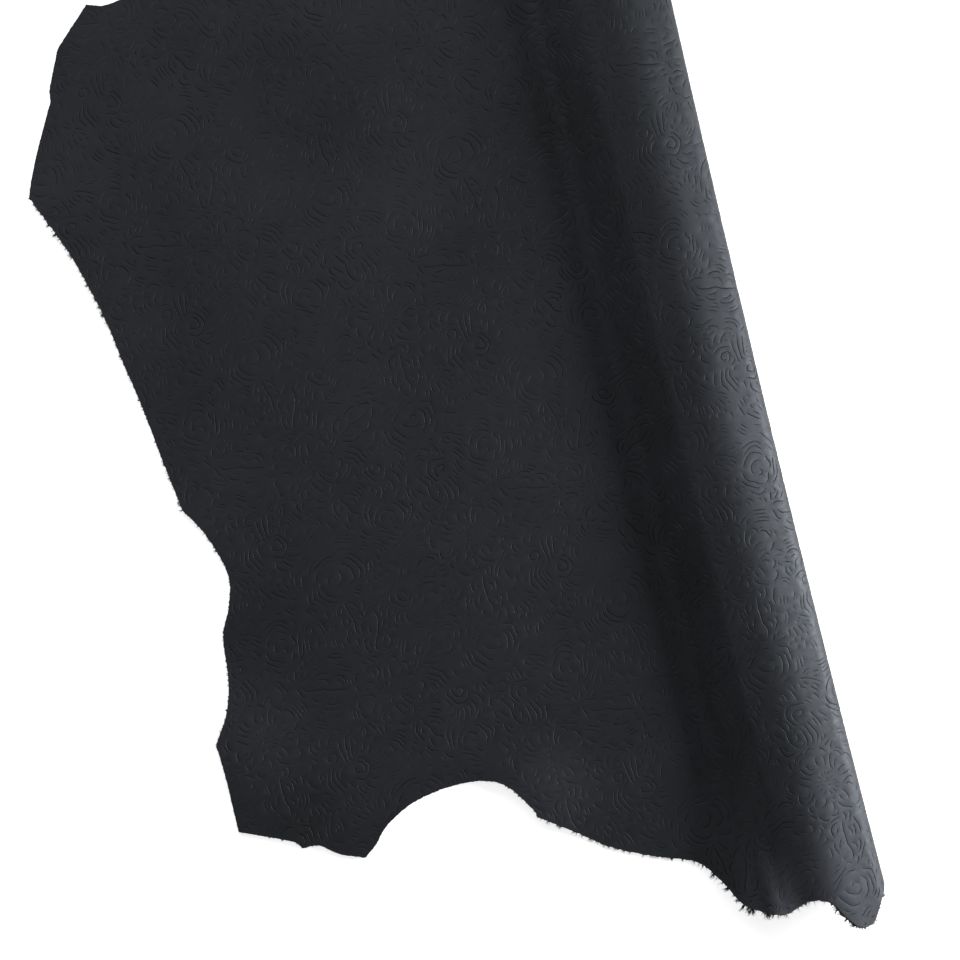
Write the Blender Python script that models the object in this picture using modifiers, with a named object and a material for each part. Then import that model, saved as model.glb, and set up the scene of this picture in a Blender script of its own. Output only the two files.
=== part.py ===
"""Embossed leather belly: one trimmed piece of a hide, lying grain side up.

Its left-hand side lies flat with an irregular knife-cut outline. Its right-hand side
rises to a rounded ridge, turns over a nose and comes back underneath as a flat flap.

Frame: X runs across the fold, with the nose at the +X side. Y runs along the fold, with
the straight cut end at +Y and the lobed end at -Y. Z is up. The origin is on the surface
that the leather lies on, under the middle of its bounding box. Sizes are in metres.
"""

import math

import bpy
import numpy as np
from mathutils import Vector
from mathutils.geometry import delaunay_2d_cdt

MM = 0.001

# The leather.
THICKNESS = 2.2 * MM
LYING_HEIGHT = THICKNESS / 2            # middle of a sheet whose underside is on the surface

# The section across the fold, in stretches from the field to the flap.
# heading: the way that the sheet runs on at the stretch's end, in degrees above the level.
# It stands upright at the nose, at -90, and runs back under itself at -180.
TOE_LENGTH = 13                         # where the sheet starts to leave the surface
STEEPEST = 42                           # heading at the toe's end and on the straight rise
BROW = (
    # length, heading
    (8, 13),                            # shoulder
    (15, 9),                            # broad back
    (21, -18),                          # crest
    (14.5, -24),                        # flank
    (11, -90),                          # nose
    (15.4, -180),                       # chin
)
STRETCH_STEPS = 40                      # points on each stretch of the section
NOSE_BOW = 3 * MM                       # how far the middle of the nose line is drawn in
BOW_ENDS_INSET = 320 * MM               # the field past this inset isn't drawn in

# The outline, going round from the far corner of the straight cut end.
# across: inset from the nose in plan, or below zero the length past the nose, on the flap.
# along: distance from the straight cut end towards the lobed end.
# turn: "corner" is a point where the knife turned, "round" lies on a smooth stretch.
OUTLINE = (
    # across, along, turn
    (356, -2, "corner"), (373, 14, "round"), (380, 21, "corner"), (387, 36, "round"),
    (391, 45, "corner"), (392, 52, "corner"), (398, 63, "round"), (409, 84, "round"),
    (418, 105, "round"), (417, 111, "round"), (408, 132, "round"), (399, 157, "round"),
    (390, 193, "round"), (386, 220, "round"), (381, 248, "round"), (376, 286, "round"),
    (371, 320, "corner"), (361, 337, "round"), (353, 364, "round"), (357, 384, "round"),
    (365, 402, "round"), (368, 429, "round"), (374, 449, "round"), (385, 467, "corner"),
    (384, 486, "round"), (384, 523, "corner"), (358, 534, "round"), (350, 538, "corner"),
    (348, 542, "corner"), (337, 543, "round"), (326, 551, "round"), (311, 557, "corner"),
    (303, 551, "round"), (292, 540, "round"), (272, 530, "round"), (247, 526, "round"),
    (225, 528, "round"), (212, 536, "round"), (200, 554, "corner"), (200, 557, "corner"),
    (180, 571, "round"), (158, 587, "round"), (132, 599, "round"), (109, 608, "round"),
    (97, 623, "round"), (87, 640, "round"), (74, 648, "round"), (62, 651, "round"),
    (48, 647, "round"), (35, 651, "round"), (28, 662, "round"), (21, 670, "round"),
    (12, 669, "round"), (3, 655, "round"), (0, 646, "round"), (-14, 637, "round"),
    (-42, 626, "round"), (-66, 612, "round"), (-76, 594, "round"), (-76, 560, "corner"),
    (-76, 0, "corner"), (335, 0, "corner"), (346, 1, "round"),
)
SHEET_LENGTH = max(along for _, along, _ in OUTLINE) * MM
OUTLINE_STEP = 13 * MM                  # chord along the outline where the sheet lies flat
BENT_OUTLINE_STEP = 2.5 * MM            # the same where it bends

# Places where the leather stands a little off the surface.
# across and along: the middle of the place. reach_across and reach_along: how far it goes.
# height: lift at the middle.
LIFTS = (
    # across, along, reach_across, reach_along, height
    (412, 150, 42, 52, 5.0),            # long left edge, below the widest point
    (376, 306, 34, 46, 2.0),            # left edge above the first inward sweep
    (392, 468, 40, 34, 5.5),            # pointed tip on the left
    (206, 545, 30, 26, 5.0),            # right-hand half of the arch
    (204, 60, 46, 84, 2.2),             # long ripple running in from the straight cut end
    (300, 262, 60, 70, 1.2),            # shallow rise in the open field
(45, 690, 21, 100, 4.0),            # the roll opens up towards the lobed end
    (84, 700, 20, 85, 22.0),            # and its foot fills up there
    (74, 698, 11, 85, 8.5),             # second ridge, at the lobed end
)

# The grid of points inside the outline.
FIELD_CELL = 22 * MM                    # spacing across where the sheet is flat
BEND_TURN = 10                          # turn between the columns of the bend, in degrees
BEND_CELL = 8 * MM                      # longest spacing across the bend
ROW_CELL = 20 * MM                      # spacing along the fold
EDGE_CLEARANCE = 6.5 * MM               # grid points nearer the outline are left out
MERGE_DISTANCE = 0.00005

COLLECTION_NAME = "embossed_leather_belly"
NODE_NAME = "leather_belly"
LEATHER_COLOUR = (0.022, 0.023, 0.026, 1.0)
LEATHER_ROUGHNESS = 0.5


def clear_scene():
    """Remove every object, so that the script can be run again."""
    for item in list(bpy.data.objects):
        bpy.data.objects.remove(item, do_unlink=True)


def section_stretches():
    """Return the section's stretches: end of each, in arc length from the toe, and heading.

    The straight rise is as long as it takes for the chin to come down level.
    """
    steepest = math.radians(STEEPEST)
    climb = TOE_LENGTH * (1 - math.cos(steepest)) / steepest
    start = steepest
    for length, heading in BROW:
        end = math.radians(heading)
        climb += length * (math.cos(start) - math.cos(end)) / (end - start)
        start = end
    rise = (-climb / math.sin(steepest), STEEPEST)
    stretches = ((TOE_LENGTH, STEEPEST), rise) + BROW
    ends = np.cumsum([0] + [length for length, _ in stretches]) * MM
    return ends, [0] + [heading for _, heading in stretches]


def fold_section():
    """Return the section's points: arc length past the nose, place across and rise.

    Place across is zero at the nose and negative inward. The arc length is negative on the
    grain side that shows and positive on the flap.
    """
    starts = [np.linspace(low, high, STRETCH_STEPS, endpoint=False)
              for low, high in zip(ENDS, ENDS[1:])]
    arc = np.concatenate(starts + [ENDS[-1:]])
    heading = np.interp(arc, ENDS, np.radians(HEADINGS))
    middle = (heading[1:] + heading[:-1]) / 2
    across = np.concatenate([[0], np.cumsum(np.diff(arc) * np.cos(middle))])
    rise = np.concatenate([[0], np.cumsum(np.diff(arc) * np.sin(middle))])
    nose = int(np.argmax(across))
    return arc - arc[nose], across - across[nose], rise, nose


ENDS, HEADINGS = section_stretches()
ARC, ACROSS, RISE, NOSE = fold_section()
LIFT_OFF_ARC, LANDING_ARC = ARC[0], ARC[-1]


def unrolled(across):
    """Return the place in the flat sheet, past the nose, of an outline table's place."""
    if across <= 0:
        return -across
    if -across <= ACROSS[0]:
        return LIFT_OFF_ARC - (across + ACROSS[0])
    return float(np.interp(-across, ACROSS[:NOSE + 1], ARC[:NOSE + 1]))


def section_point(arc):
    """Return the place across and the rise of a place in the flat sheet."""
    if arc < LIFT_OFF_ARC:
        return ACROSS[0] + (arc - LIFT_OFF_ARC), 0.0
    if arc > LANDING_ARC:
        return ACROSS[-1] - (arc - LANDING_ARC), 0.0
    return float(np.interp(arc, ARC, ACROSS)), float(np.interp(arc, ARC, RISE))


def lift_at(inset, along):
    """Return how far the places in LIFTS raise the sheet."""
    total = 0.0
    for across_mm, along_mm, reach_across, reach_along, height in LIFTS:
        off_across = (inset / MM - across_mm) / reach_across
        off_along = (along / MM - along_mm) / reach_along
        distance = off_across ** 2 + off_along ** 2
        if distance < 4:
            total += height * MM * (1 - distance / 4) ** 3
    return total


def lie(arc, along):
    """Return where a place of the flat sheet lies."""
    across, rise = section_point(arc)
    if arc < 0:
        rise += lift_at(-across, along)
    share = min(max(along / SHEET_LENGTH, 0.0), 1.0)
    near_fold = min(max((BOW_ENDS_INSET + across) / BOW_ENDS_INSET, 0.0), 1.0)
    bow = NOSE_BOW * 4 * share * (1 - share) * (near_fold if arc < 0 else 1.0)
    return Vector((across - bow, -along, LYING_HEIGHT + rise))


def smooth_stretch(before, start, end, after, steps):
    """Return points on a Catmull-Rom curve from start up to, but without, end."""
    points = []
    for step in range(steps):
        part = step / steps
        pull = (end - before) * part + (2 * before - 5 * start + 4 * end - after) * part ** 2
        bend = (3 * start - before - 3 * end + after) * part ** 3
        points.append(start + (pull + bend) / 2)
    return points


def outline_points():
    """Return the outline in the flat sheet, with its smooth stretches filled in."""
    knots = [Vector((unrolled(across * MM), along * MM)) for across, along, _ in OUTLINE]
    corner = [turn == "corner" for _, _, turn in OUTLINE]
    count = len(knots)
    points = []
    for index in range(count):
        start = knots[index]
        end = knots[(index + 1) % count]
        before = start if corner[index] else knots[index - 1]
        after = end if corner[(index + 1) % count] else knots[(index + 2) % count]
        bent = max(start.x, end.x) > LIFT_OFF_ARC and min(start.x, end.x) < LANDING_ARC
        step = BENT_OUTLINE_STEP if bent else OUTLINE_STEP
        steps = max(1, round((end - start).length / step))
        points += smooth_stretch(before, start, end, after, steps)
    return points


def inside(point, outline):
    """Return whether a point is inside the outline, by counting crossings."""
    crossings = 0
    for start, end in zip(outline, outline[1:] + outline[:1]):
        if (start.y > point.y) != (end.y > point.y):
            share = (point.y - start.y) / (end.y - start.y)
            if start.x + share * (end.x - start.x) > point.x:
                crossings += 1
    return crossings % 2 == 1


def clearance(point, outline):
    """Return the distance from a point to the nearest side of the outline."""
    nearest = 1.0
    for start, end in zip(outline, outline[1:] + outline[:1]):
        side = end - start
        share = min(max((point - start).dot(side) / side.length_squared, 0.0), 1.0)
        nearest = min(nearest, (point - start - side * share).length)
    return nearest


def stations(low, high, cell):
    """Return evenly spaced places from low up to, but without, high."""
    steps = max(1, round((high - low) / cell))
    return [low + (high - low) * step / steps for step in range(steps)]


def grid_columns(outline):
    """Return the grid's places across, closer together where the sheet bends more."""
    low = min(point.x for point in outline)
    high = max(point.x for point in outline)
    columns = stations(low, LIFT_OFF_ARC, FIELD_CELL)
    arcs = ENDS + LIFT_OFF_ARC
    for number in range(len(arcs) - 1):
        turn = abs(HEADINGS[number + 1] - HEADINGS[number])
        length = arcs[number + 1] - arcs[number]
        steps = math.ceil(max(turn / BEND_TURN, length / BEND_CELL))
        columns += stations(arcs[number], arcs[number + 1], length / steps)
    return columns + stations(LANDING_ARC, high, FIELD_CELL)


def grid(outline):
    """Return the points inside the outline, and the sides that keep them in columns."""
    points, sides = [], []
    for number, column in enumerate(grid_columns(outline)):
        shift = ROW_CELL / 2 if number % 2 else 0.0
        last = None
        for row in stations(0, SHEET_LENGTH, ROW_CELL):
            point = Vector((column, row + shift))
            if inside(point, outline) and clearance(point, outline) > EDGE_CLEARANCE:
                points.append(point)
                if last is not None and row - last < 1.5 * ROW_CELL:
                    sides.append((len(points) - 2, len(points) - 1))
                last = row
    return points, sides


def leather_material():
    """Return the near-black leather."""
    material = bpy.data.materials.new("black_leather")
    material.use_nodes = True
    shader = material.node_tree.nodes["Principled BSDF"]
    shader.inputs["Base Color"].default_value = LEATHER_COLOUR
    shader.inputs["Roughness"].default_value = LEATHER_ROUGHNESS
    shader.inputs["Metallic"].default_value = 0.0
    return material


def leather_sheet():
    """Make the open sheet on its fold, and give it its thickness."""
    outline = outline_points()
    count = len(outline)
    points, columns = grid(outline)
    sides = [(index, (index + 1) % count) for index in range(count)]
    sides += [(count + start, count + end) for start, end in columns]
    flat, _, faces, _, _, _ = delaunay_2d_cdt(outline + points, sides, [], 1, MERGE_DISTANCE)
    mesh = bpy.data.meshes.new(NODE_NAME)
    mesh.from_pydata([lie(point.x, point.y) for point in flat], [], faces)
    mesh.update()
    if mesh.polygons[0].normal.z < 0:
        mesh.flip_normals()
    mesh.shade_smooth()
    sheet = bpy.data.objects.new(NODE_NAME, mesh)
    sheet.data.materials.append(leather_material())
    thick = sheet.modifiers.new("thickness", "SOLIDIFY")
    thick.thickness = THICKNESS
    thick.offset = 0
    thick.use_even_offset = True
    return sheet


def centre_on_origin(sheet):
    """Move the sheet so that its bounding box stands centred on the origin."""
    box_low = [min(vertex.co[axis] for vertex in sheet.data.vertices) for axis in range(2)]
    box_high = [max(vertex.co[axis] for vertex in sheet.data.vertices) for axis in range(2)]
    box_high[0] += THICKNESS / 2        # the nose's outside stands half the thickness out
    sheet.location.x = -(box_low[0] + box_high[0]) / 2
    sheet.location.y = -(box_low[1] + box_high[1]) / 2


clear_scene()
belly = bpy.data.collections.new(COLLECTION_NAME)
bpy.context.scene.collection.children.link(belly)
leather_belly = leather_sheet()
centre_on_origin(leather_belly)
belly.objects.link(leather_belly)
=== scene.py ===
"""The looks of an embossed leather belly that lies grain side up, one edge rolled under.

The hide is worked out in the flat: its cut outline, the pattern of flowers, leaves and
scrolls that the embossing plate pressed into it, and the flesh fibres along its cut edge.
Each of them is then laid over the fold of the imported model.

A flat place is a pair: past, the length past the nose line of the fold, and along, the
distance from the straight cut end. Lengths are in metres. The charts of the outline, the
swells and the motifs are in millimetres, and angles are in degrees.
"""

import itertools
import logging
import math
from dataclasses import dataclass
from enum import Enum
from functools import cache, cached_property
from typing import NamedTuple

import bpy
import numpy as np
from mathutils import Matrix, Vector
from mathutils.geometry import delaunay_2d_cdt
from mathutils.kdtree import KDTree


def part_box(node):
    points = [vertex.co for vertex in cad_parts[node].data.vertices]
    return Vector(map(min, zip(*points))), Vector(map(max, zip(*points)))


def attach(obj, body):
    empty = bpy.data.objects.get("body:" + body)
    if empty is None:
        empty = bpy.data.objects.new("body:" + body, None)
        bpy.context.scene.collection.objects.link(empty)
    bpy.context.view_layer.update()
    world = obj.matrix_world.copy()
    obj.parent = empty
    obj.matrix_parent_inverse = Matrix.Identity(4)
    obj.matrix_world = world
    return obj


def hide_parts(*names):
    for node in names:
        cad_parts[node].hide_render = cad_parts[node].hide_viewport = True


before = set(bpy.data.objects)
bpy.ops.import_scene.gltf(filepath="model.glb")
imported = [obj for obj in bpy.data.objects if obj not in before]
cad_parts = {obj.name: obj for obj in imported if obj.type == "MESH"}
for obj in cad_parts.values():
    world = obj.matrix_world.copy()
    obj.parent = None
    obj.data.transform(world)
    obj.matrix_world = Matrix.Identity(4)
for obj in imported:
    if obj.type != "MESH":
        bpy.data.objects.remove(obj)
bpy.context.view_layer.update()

log = logging.getLogger("leather_belly")

MM = 0.001
NODE = "leather_belly"
SEED = 27


def unit(vectors: np.ndarray) -> np.ndarray:
    """Scale rows of vectors to a length of one, but leave those of length zero as they are."""
    length = np.linalg.norm(vectors, axis=1, keepdims=True)
    return vectors / np.where(length > 0, length, 1.0)


def run_of(path: np.ndarray) -> np.ndarray:
    """Return the length along a path from its start to each of its points."""
    return from_zero(np.linalg.norm(np.diff(path, axis=0), axis=1))


def from_zero(steps: np.ndarray) -> np.ndarray:
    """Add steps up, starting at zero."""
    return np.concatenate([[0.0], np.cumsum(steps)])


def left_of(ways: np.ndarray) -> np.ndarray:
    """Return the flat directions that point to the left of others."""
    return np.column_stack([-ways[:, 1], ways[:, 0]])


def linked(name: str, data: bpy.types.ID) -> bpy.types.Object:
    """Make an object and put it in the scene.

    Args:
        name: its name.
        data: its mesh, light or camera.

    Returns:
        The object.
    """
    made = bpy.data.objects.new(name, data)
    bpy.context.scene.collection.objects.link(made)
    return made


def note(mesh: bpy.types.Mesh, name: str, kind: str, values: np.ndarray,
         domain: str = "POINT") -> None:
    """Note a value on each point or edge of a mesh.

    Args:
        mesh: the mesh.
        name: the name of the attribute that holds the values.
        kind: the attribute's type.
        values: the values, in the mesh's own order.
        domain: what the values belong to.
    """
    attribute = mesh.attributes.new(name, kind, domain)
    attribute.data.foreach_set("vector" if kind == "FLOAT_VECTOR" else "value", values.ravel())


# ---------------------------------------------------------------- how the hide lies


class Bend(NamedTuple):
    """A stretch of the section: its length in millimetres, and where it heads at its end."""

    length: float
    heading: float


@dataclass(frozen=True)
class FoldSection:
    """The section across the fold, from the field to the flap.

    Headings are above the level, seen on the way to the nose. The hide stands upright at
    the nose, where the heading is -90, and runs back under itself at -180.
    """

    toe: Bend = Bend(13.0, 42.0)
    brow: tuple[Bend, ...] = (
        Bend(8.0, 13.0),            # shoulder
        Bend(15.0, 9.0),            # broad back
        Bend(21.0, -18.0),          # crest
        Bend(14.5, -24.0),          # flank
        Bend(11.0, -90.0),          # nose
        Bend(15.4, -180.0),         # chin
    )
    steps: int = 40                 # in each stretch

    @cached_property
    def bends(self) -> tuple[Bend, ...]:
        """All the stretches, with the straight rise as long as it takes to come down level."""
        steep = math.radians(self.toe.heading)
        climb = self.toe.length * (1 - math.cos(steep)) / steep
        start = steep
        for stretch in self.brow:
            end = math.radians(stretch.heading)
            climb += stretch.length * (math.cos(start) - math.cos(end)) / (end - start)
            start = end
        rise = Bend(-climb / math.sin(steep), self.toe.heading)
        return (self.toe, rise, *self.brow)

    @cached_property
    def line(self) -> np.ndarray:
        """The section's points, a row each: length past the nose, place across and rise."""
        ends = np.cumsum([0.0] + [stretch.length for stretch in self.bends]) * MM
        headings = np.radians([0.0] + [stretch.heading for stretch in self.bends])
        starts = [np.linspace(*pair, self.steps, endpoint=False) for pair in zip(ends, ends[1:])]
        past = np.concatenate([*starts, ends[-1:]])
        heading = np.interp(past, ends, headings)
        middle = (heading[1:] + heading[:-1]) / 2
        across = from_zero(np.diff(past) * np.cos(middle))
        rise = from_zero(np.diff(past) * np.sin(middle))
        nose = np.argmax(across)
        return np.column_stack([past - past[nose], across - across[nose], rise])

    @cached_property
    def lift_off(self) -> float:
        """The length past the nose at which the hide leaves the surface, below zero."""
        return float(self.line[0, 0])

    @cached_property
    def crest(self) -> float:
        """The length past the nose of the crest, below zero."""
        return float(self.line[np.argmax(self.line[:, 2]), 0])

    @cached_property
    def landing(self) -> float:
        """The length past the nose at which the flap is down on the surface."""
        return float(self.line[-1, 0])

    def past(self, across_mm: np.ndarray) -> np.ndarray:
        """Unroll places across, given as in the outline's chart.

        Args:
            across_mm: insets from the nose in plan, or below zero lengths past the nose.

        Returns:
            The lengths past the nose, in metres.
        """
        inset = np.asarray(across_mm, float) * MM
        upper = self.line[:np.argmax(self.line[:, 1]) + 1]
        bent = np.interp(-inset, upper[:, 1], upper[:, 0])
        field = self.lift_off - (inset + upper[0, 1])
        grain = np.where(-inset <= upper[0, 1], field, bent)
        return np.where(inset <= 0, -inset, grain)

    def lay(self, past: np.ndarray) -> tuple[np.ndarray, np.ndarray]:
        """Bend a stretch of the flat hide onto the section.

        Args:
            past: lengths past the nose.

        Returns:
            The places across, zero at the nose and negative inward, and the rises.
        """
        across = np.interp(past, self.line[:, 0], self.line[:, 1])
        rise = np.interp(past, self.line[:, 0], self.line[:, 2], left=0.0, right=0.0)
        across = np.where(past < self.lift_off, across + past - self.lift_off, across)
        across = np.where(past > self.landing, across - (past - self.landing), across)
        return across, rise


class Swell(NamedTuple):
    """A place where the hide stands a little off the surface, in millimetres."""

    across: float
    along: float
    reach_across: float
    reach_along: float
    height: float


SWELLS = (
    Swell(412, 150, 42, 52, 5.0),       # long left edge, below the widest point
    Swell(376, 306, 34, 46, 2.0),       # left edge above the first inward sweep
    Swell(392, 468, 40, 34, 5.5),       # pointed tip on the left
    Swell(206, 545, 30, 26, 5.0),       # right-hand half of the arch
    Swell(204, 60, 46, 84, 2.2),        # long ripple running in from the straight cut end
    Swell(300, 262, 60, 70, 1.2),       # shallow rise in the open field
    Swell(45, 690, 21, 100, 4.0),       # the roll opens up towards the lobed end
    Swell(84, 700, 20, 85, 22.0),       # and its foot fills up there
    Swell(74, 698, 11, 85, 8.5),        # second ridge, at the lobed end
)


@dataclass(frozen=True)
class Lie:
    """How the flat hide lies: over the fold, drawn in a little, and lifted by its swells."""

    section: FoldSection
    nose_x: float                       # the nose line at its ends
    end_y: float                        # the straight cut end
    length: float                       # from the straight cut end to the last lobe
    thickness: float = 2.2 * MM
    nose_bow: float = 3 * MM            # how far the middle of the nose line is drawn in
    bow_ends_inset: float = 320 * MM
    swells: tuple[Swell, ...] = SWELLS

    def lift(self, across: np.ndarray, along: np.ndarray) -> np.ndarray:
        """Add up how far the swells raise the hide.

        Args:
            across: places across, negative inward.
            along: distances from the straight cut end.

        Returns:
            The lifts.
        """
        total = np.zeros_like(across)
        for swell in self.swells:
            off_across = (-across / MM - swell.across) / swell.reach_across
            off_along = (along / MM - swell.along) / swell.reach_along
            near = np.clip(1 - (off_across ** 2 + off_along ** 2) / 4, 0, 1)
            total += swell.height * MM * near ** 3
        return total

    def middle(self, flat: np.ndarray) -> np.ndarray:
        """Lay flat places down, at the middle of the hide's thickness.

        Args:
            flat: the flat places, a row each.

        Returns:
            The points in space, a row each.
        """
        past, along = flat[:, 0], flat[:, 1]
        across, rise = self.section.lay(past)
        rise = rise + np.where(past < 0, self.lift(across, along), 0.0)
        share = np.clip(along / self.length, 0, 1)
        near_fold = np.clip(1 + across / self.bow_ends_inset, 0, 1)
        bow = self.nose_bow * 4 * share * (1 - share) * np.where(past < 0, near_fold, 1.0)
        return np.column_stack([
            self.nose_x + across - bow, self.end_y - along, self.thickness / 2 + rise])

    def carried(self, flat: np.ndarray, ways: np.ndarray) -> np.ndarray:
        """Carry flat directions at flat places over to space, and scale them to one."""
        step = 0.2 * MM
        return unit(self.middle(flat + ways * step) - self.middle(flat - ways * step))

    def normals(self, flat: np.ndarray) -> np.ndarray:
        """Return which way the grain side faces at flat places."""
        past_way, along_way = (self.carried(flat, np.array([way])) for way in ((1, 0), (0, 1)))
        return unit(np.cross(along_way, past_way))


# ---------------------------------------------------------------- the cut outline


class Turn(Enum):
    """How the knife went through a knot of the outline."""

    CORNER = "corner"
    ROUND = "round"


C, R = Turn.CORNER, Turn.ROUND

EDGE_CHART = (
    # across, along, turn, length of the fibres that stand out of the cut
    (356, -2, C, 0.2), (373, 14, R, 0.2), (380, 21, C, 0.3), (387, 36, R, 0.3),
    (391, 45, C, 0.2), (392, 52, C, 0.2), (398, 63, R, 0.2), (409, 84, R, 0.2),
    (418, 105, R, 0.6), (417, 111, R, 1.0), (408, 132, R, 1.2), (399, 157, R, 1.2),
    (390, 193, R, 1.0), (386, 220, R, 0.8), (381, 248, R, 0.9), (376, 286, R, 1.0),
    (371, 320, C, 1.0), (361, 337, R, 1.0), (353, 364, R, 0.8), (357, 384, R, 0.7),
    (365, 402, R, 0.7), (368, 429, R, 0.7), (374, 449, R, 0.7), (385, 467, C, 0.5),
    (384, 486, R, 0.3), (384, 523, C, 0.4), (358, 534, R, 0.6), (350, 538, C, 0.7),
    (348, 542, C, 0.6), (337, 543, R, 0.6), (326, 551, R, 0.5), (311, 557, C, 0.4),
    (303, 551, R, 0.4), (292, 540, R, 0.4), (272, 530, R, 0.5), (247, 526, R, 0.5),
    (225, 528, R, 0.6), (212, 536, R, 0.7), (200, 554, C, 0.9), (200, 557, C, 1.1),
    (180, 571, R, 1.2), (158, 587, R, 1.1), (132, 599, R, 1.2), (109, 608, R, 1.6),
    (97, 623, R, 1.9), (87, 640, R, 2.1), (74, 648, R, 2.0), (62, 651, R, 1.8),
    (48, 647, R, 1.6), (35, 651, R, 1.8), (28, 662, R, 2.0), (21, 670, R, 1.9),
    (12, 669, R, 1.7), (3, 655, R, 1.4), (0, 646, R, 1.3), (-14, 637, R, 1.3),
    (-42, 626, R, 1.5), (-66, 612, R, 1.2), (-76, 594, R, 0.8), (-76, 560, C, 0.4),
    (-76, 0, C, 0.2), (335, 0, C, 0.2), (346, 1, R, 0.2),
)


@dataclass(frozen=True)
class TrimmedOutline:
    """The outline of the hide in the flat, with the fray of its cut."""

    section: FoldSection
    chart: tuple = EDGE_CHART
    step: float = 1.0 * MM
    grain_wander: float = 0.07 * MM     # how far the knife strays on the grain side
    flesh_wander: float = 0.10 * MM
    flesh_fray: float = 0.30            # share of the fray that the flesh side stands out
    flesh_evenness: float = 1.6         # the lower, the more it stands out in tufts
    least_fray: float = 0.1 * MM

    @cached_property
    def line(self) -> np.ndarray:
        """The smooth outline's points, a row each: past, along and fray, in metres."""
        across, along, turns, fray = map(np.array, zip(*self.chart, strict=True))
        knots = np.column_stack([self.section.past(across), along * MM, fray * MM])
        count = len(knots)
        stretches = []
        for here in range(count):
            after = (here + 1) % count
            start, end = knots[here], knots[after]
            before = start if turns[here] is Turn.CORNER else knots[here - 1]
            beyond = end if turns[after] is Turn.CORNER else knots[(here + 2) % count]
            steps = max(1, round(math.dist(start[:2], end[:2]) / self.step))
            part = (np.arange(steps) / steps)[:, None]
            pull = (end - before) * part
            pull = pull + (2 * before - 5 * start + 4 * end - beyond) * part ** 2
            bend = (3 * start - before - 3 * end + beyond) * part ** 3
            stretches.append(start + (pull + bend) / 2)
        return np.concatenate(stretches)

    @cached_property
    def outward(self) -> np.ndarray:
        """The flat directions out of the hide at the outline's points."""
        places = self.line[:, :2]
        return left_of(unit(np.roll(places, -1, axis=0) - np.roll(places, 1, axis=0)))

    @property
    def fray(self) -> np.ndarray:
        """The usual length of the fibres at each of the outline's points."""
        return np.clip(self.line[:, 2], self.least_fray, None)

    def grain_edge(self) -> np.ndarray:
        """Work out the edge of the grain side, where the knife strayed a little.

        Returns:
            The edge's flat places, one for each of the outline's points.
        """
        draw = np.random.default_rng(SEED)
        stray = draw.normal(0, self.grain_wander, len(self.line))
        return self.line[:, :2] + self.outward * stray[:, None]

    def flesh_edge(self) -> np.ndarray:
        """Work out the edge of the flesh side, which stands out raggedly past the grain.

        Returns:
            The edge's flat places, one for each of the outline's points.
        """
        draw = np.random.default_rng(SEED + 1)
        stray = draw.normal(0, self.flesh_wander, len(self.line))
        tufts = draw.gamma(self.flesh_evenness, 1 / self.flesh_evenness, len(self.line))
        tufts = tufts * self.flesh_fray * self.fray
        return self.line[:, :2] + self.outward * (stray + tufts)[:, None]


# ---------------------------------------------------------------- the pattern's motifs


ARC_STEP = 0.5                          # between the points of an arc's path, in millimetres
CURVE_STEP = 0.45                       # the same for a curve, along its four corners


class Cut(NamedTuple):
    """One line of a motif: its path in millimetres and how heavily it is pressed."""

    path: np.ndarray
    weight: float


def curve(start: tuple, pull: tuple, other_pull: tuple, end: tuple) -> np.ndarray:
    """Draw a cubic curve.

    Args:
        start: its first point.
        pull: the point that it leaves towards.
        other_pull: the point that it arrives from.
        end: its last point.

    Returns:
        The curve's points, about half a millimetre apart.
    """
    corners = np.array([start, pull, other_pull, end], float)
    steps = max(3, math.ceil(run_of(corners)[-1] / CURVE_STEP))
    part = np.linspace(0, 1, steps)[:, None]
    rest = 1 - part
    first, second = rest ** 3 * corners[0], 3 * rest ** 2 * part * corners[1]
    third, fourth = 3 * rest * part ** 2 * corners[2], part ** 3 * corners[3]
    return first + second + third + fourth


def spun(angle: np.ndarray, reach: np.ndarray) -> np.ndarray:
    """Return the places that lie at angles and distances from the origin."""
    return np.column_stack([np.cos(angle), np.sin(angle)]) * reach[:, None]


def sweep(radius: float, start: float, turn: float, tighten: float = 0.0) -> np.ndarray:
    """Draw an arc, or a spiral, about the motif's origin.

    Args:
        radius: its radius at the start.
        start: the direction in which it starts, seen from the origin.
        turn: how far it turns, below zero clockwise.
        tighten: the share of the radius that it loses on the way.

    Returns:
        The points, about half a millimetre apart.
    """
    steps = max(3, math.ceil(abs(math.radians(turn)) * radius / ARC_STEP))
    share = np.linspace(0, 1, steps)
    return spun(np.radians(start + turn * share), radius * (1 - tighten * share))


def bead(reach: float) -> np.ndarray:
    """Return the millimetre-long path of a dot on the first axis, at a distance."""
    return np.array([[reach - 0.5, 0], [reach, 0], [reach + 0.5, 0]])


def turned(path: np.ndarray, angle: float) -> np.ndarray:
    """Return a path turned about the origin by an angle."""
    cosine, sine = math.cos(math.radians(angle)), math.sin(math.radians(angle))
    return path @ np.array([[cosine, sine], [-sine, cosine]])


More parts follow.
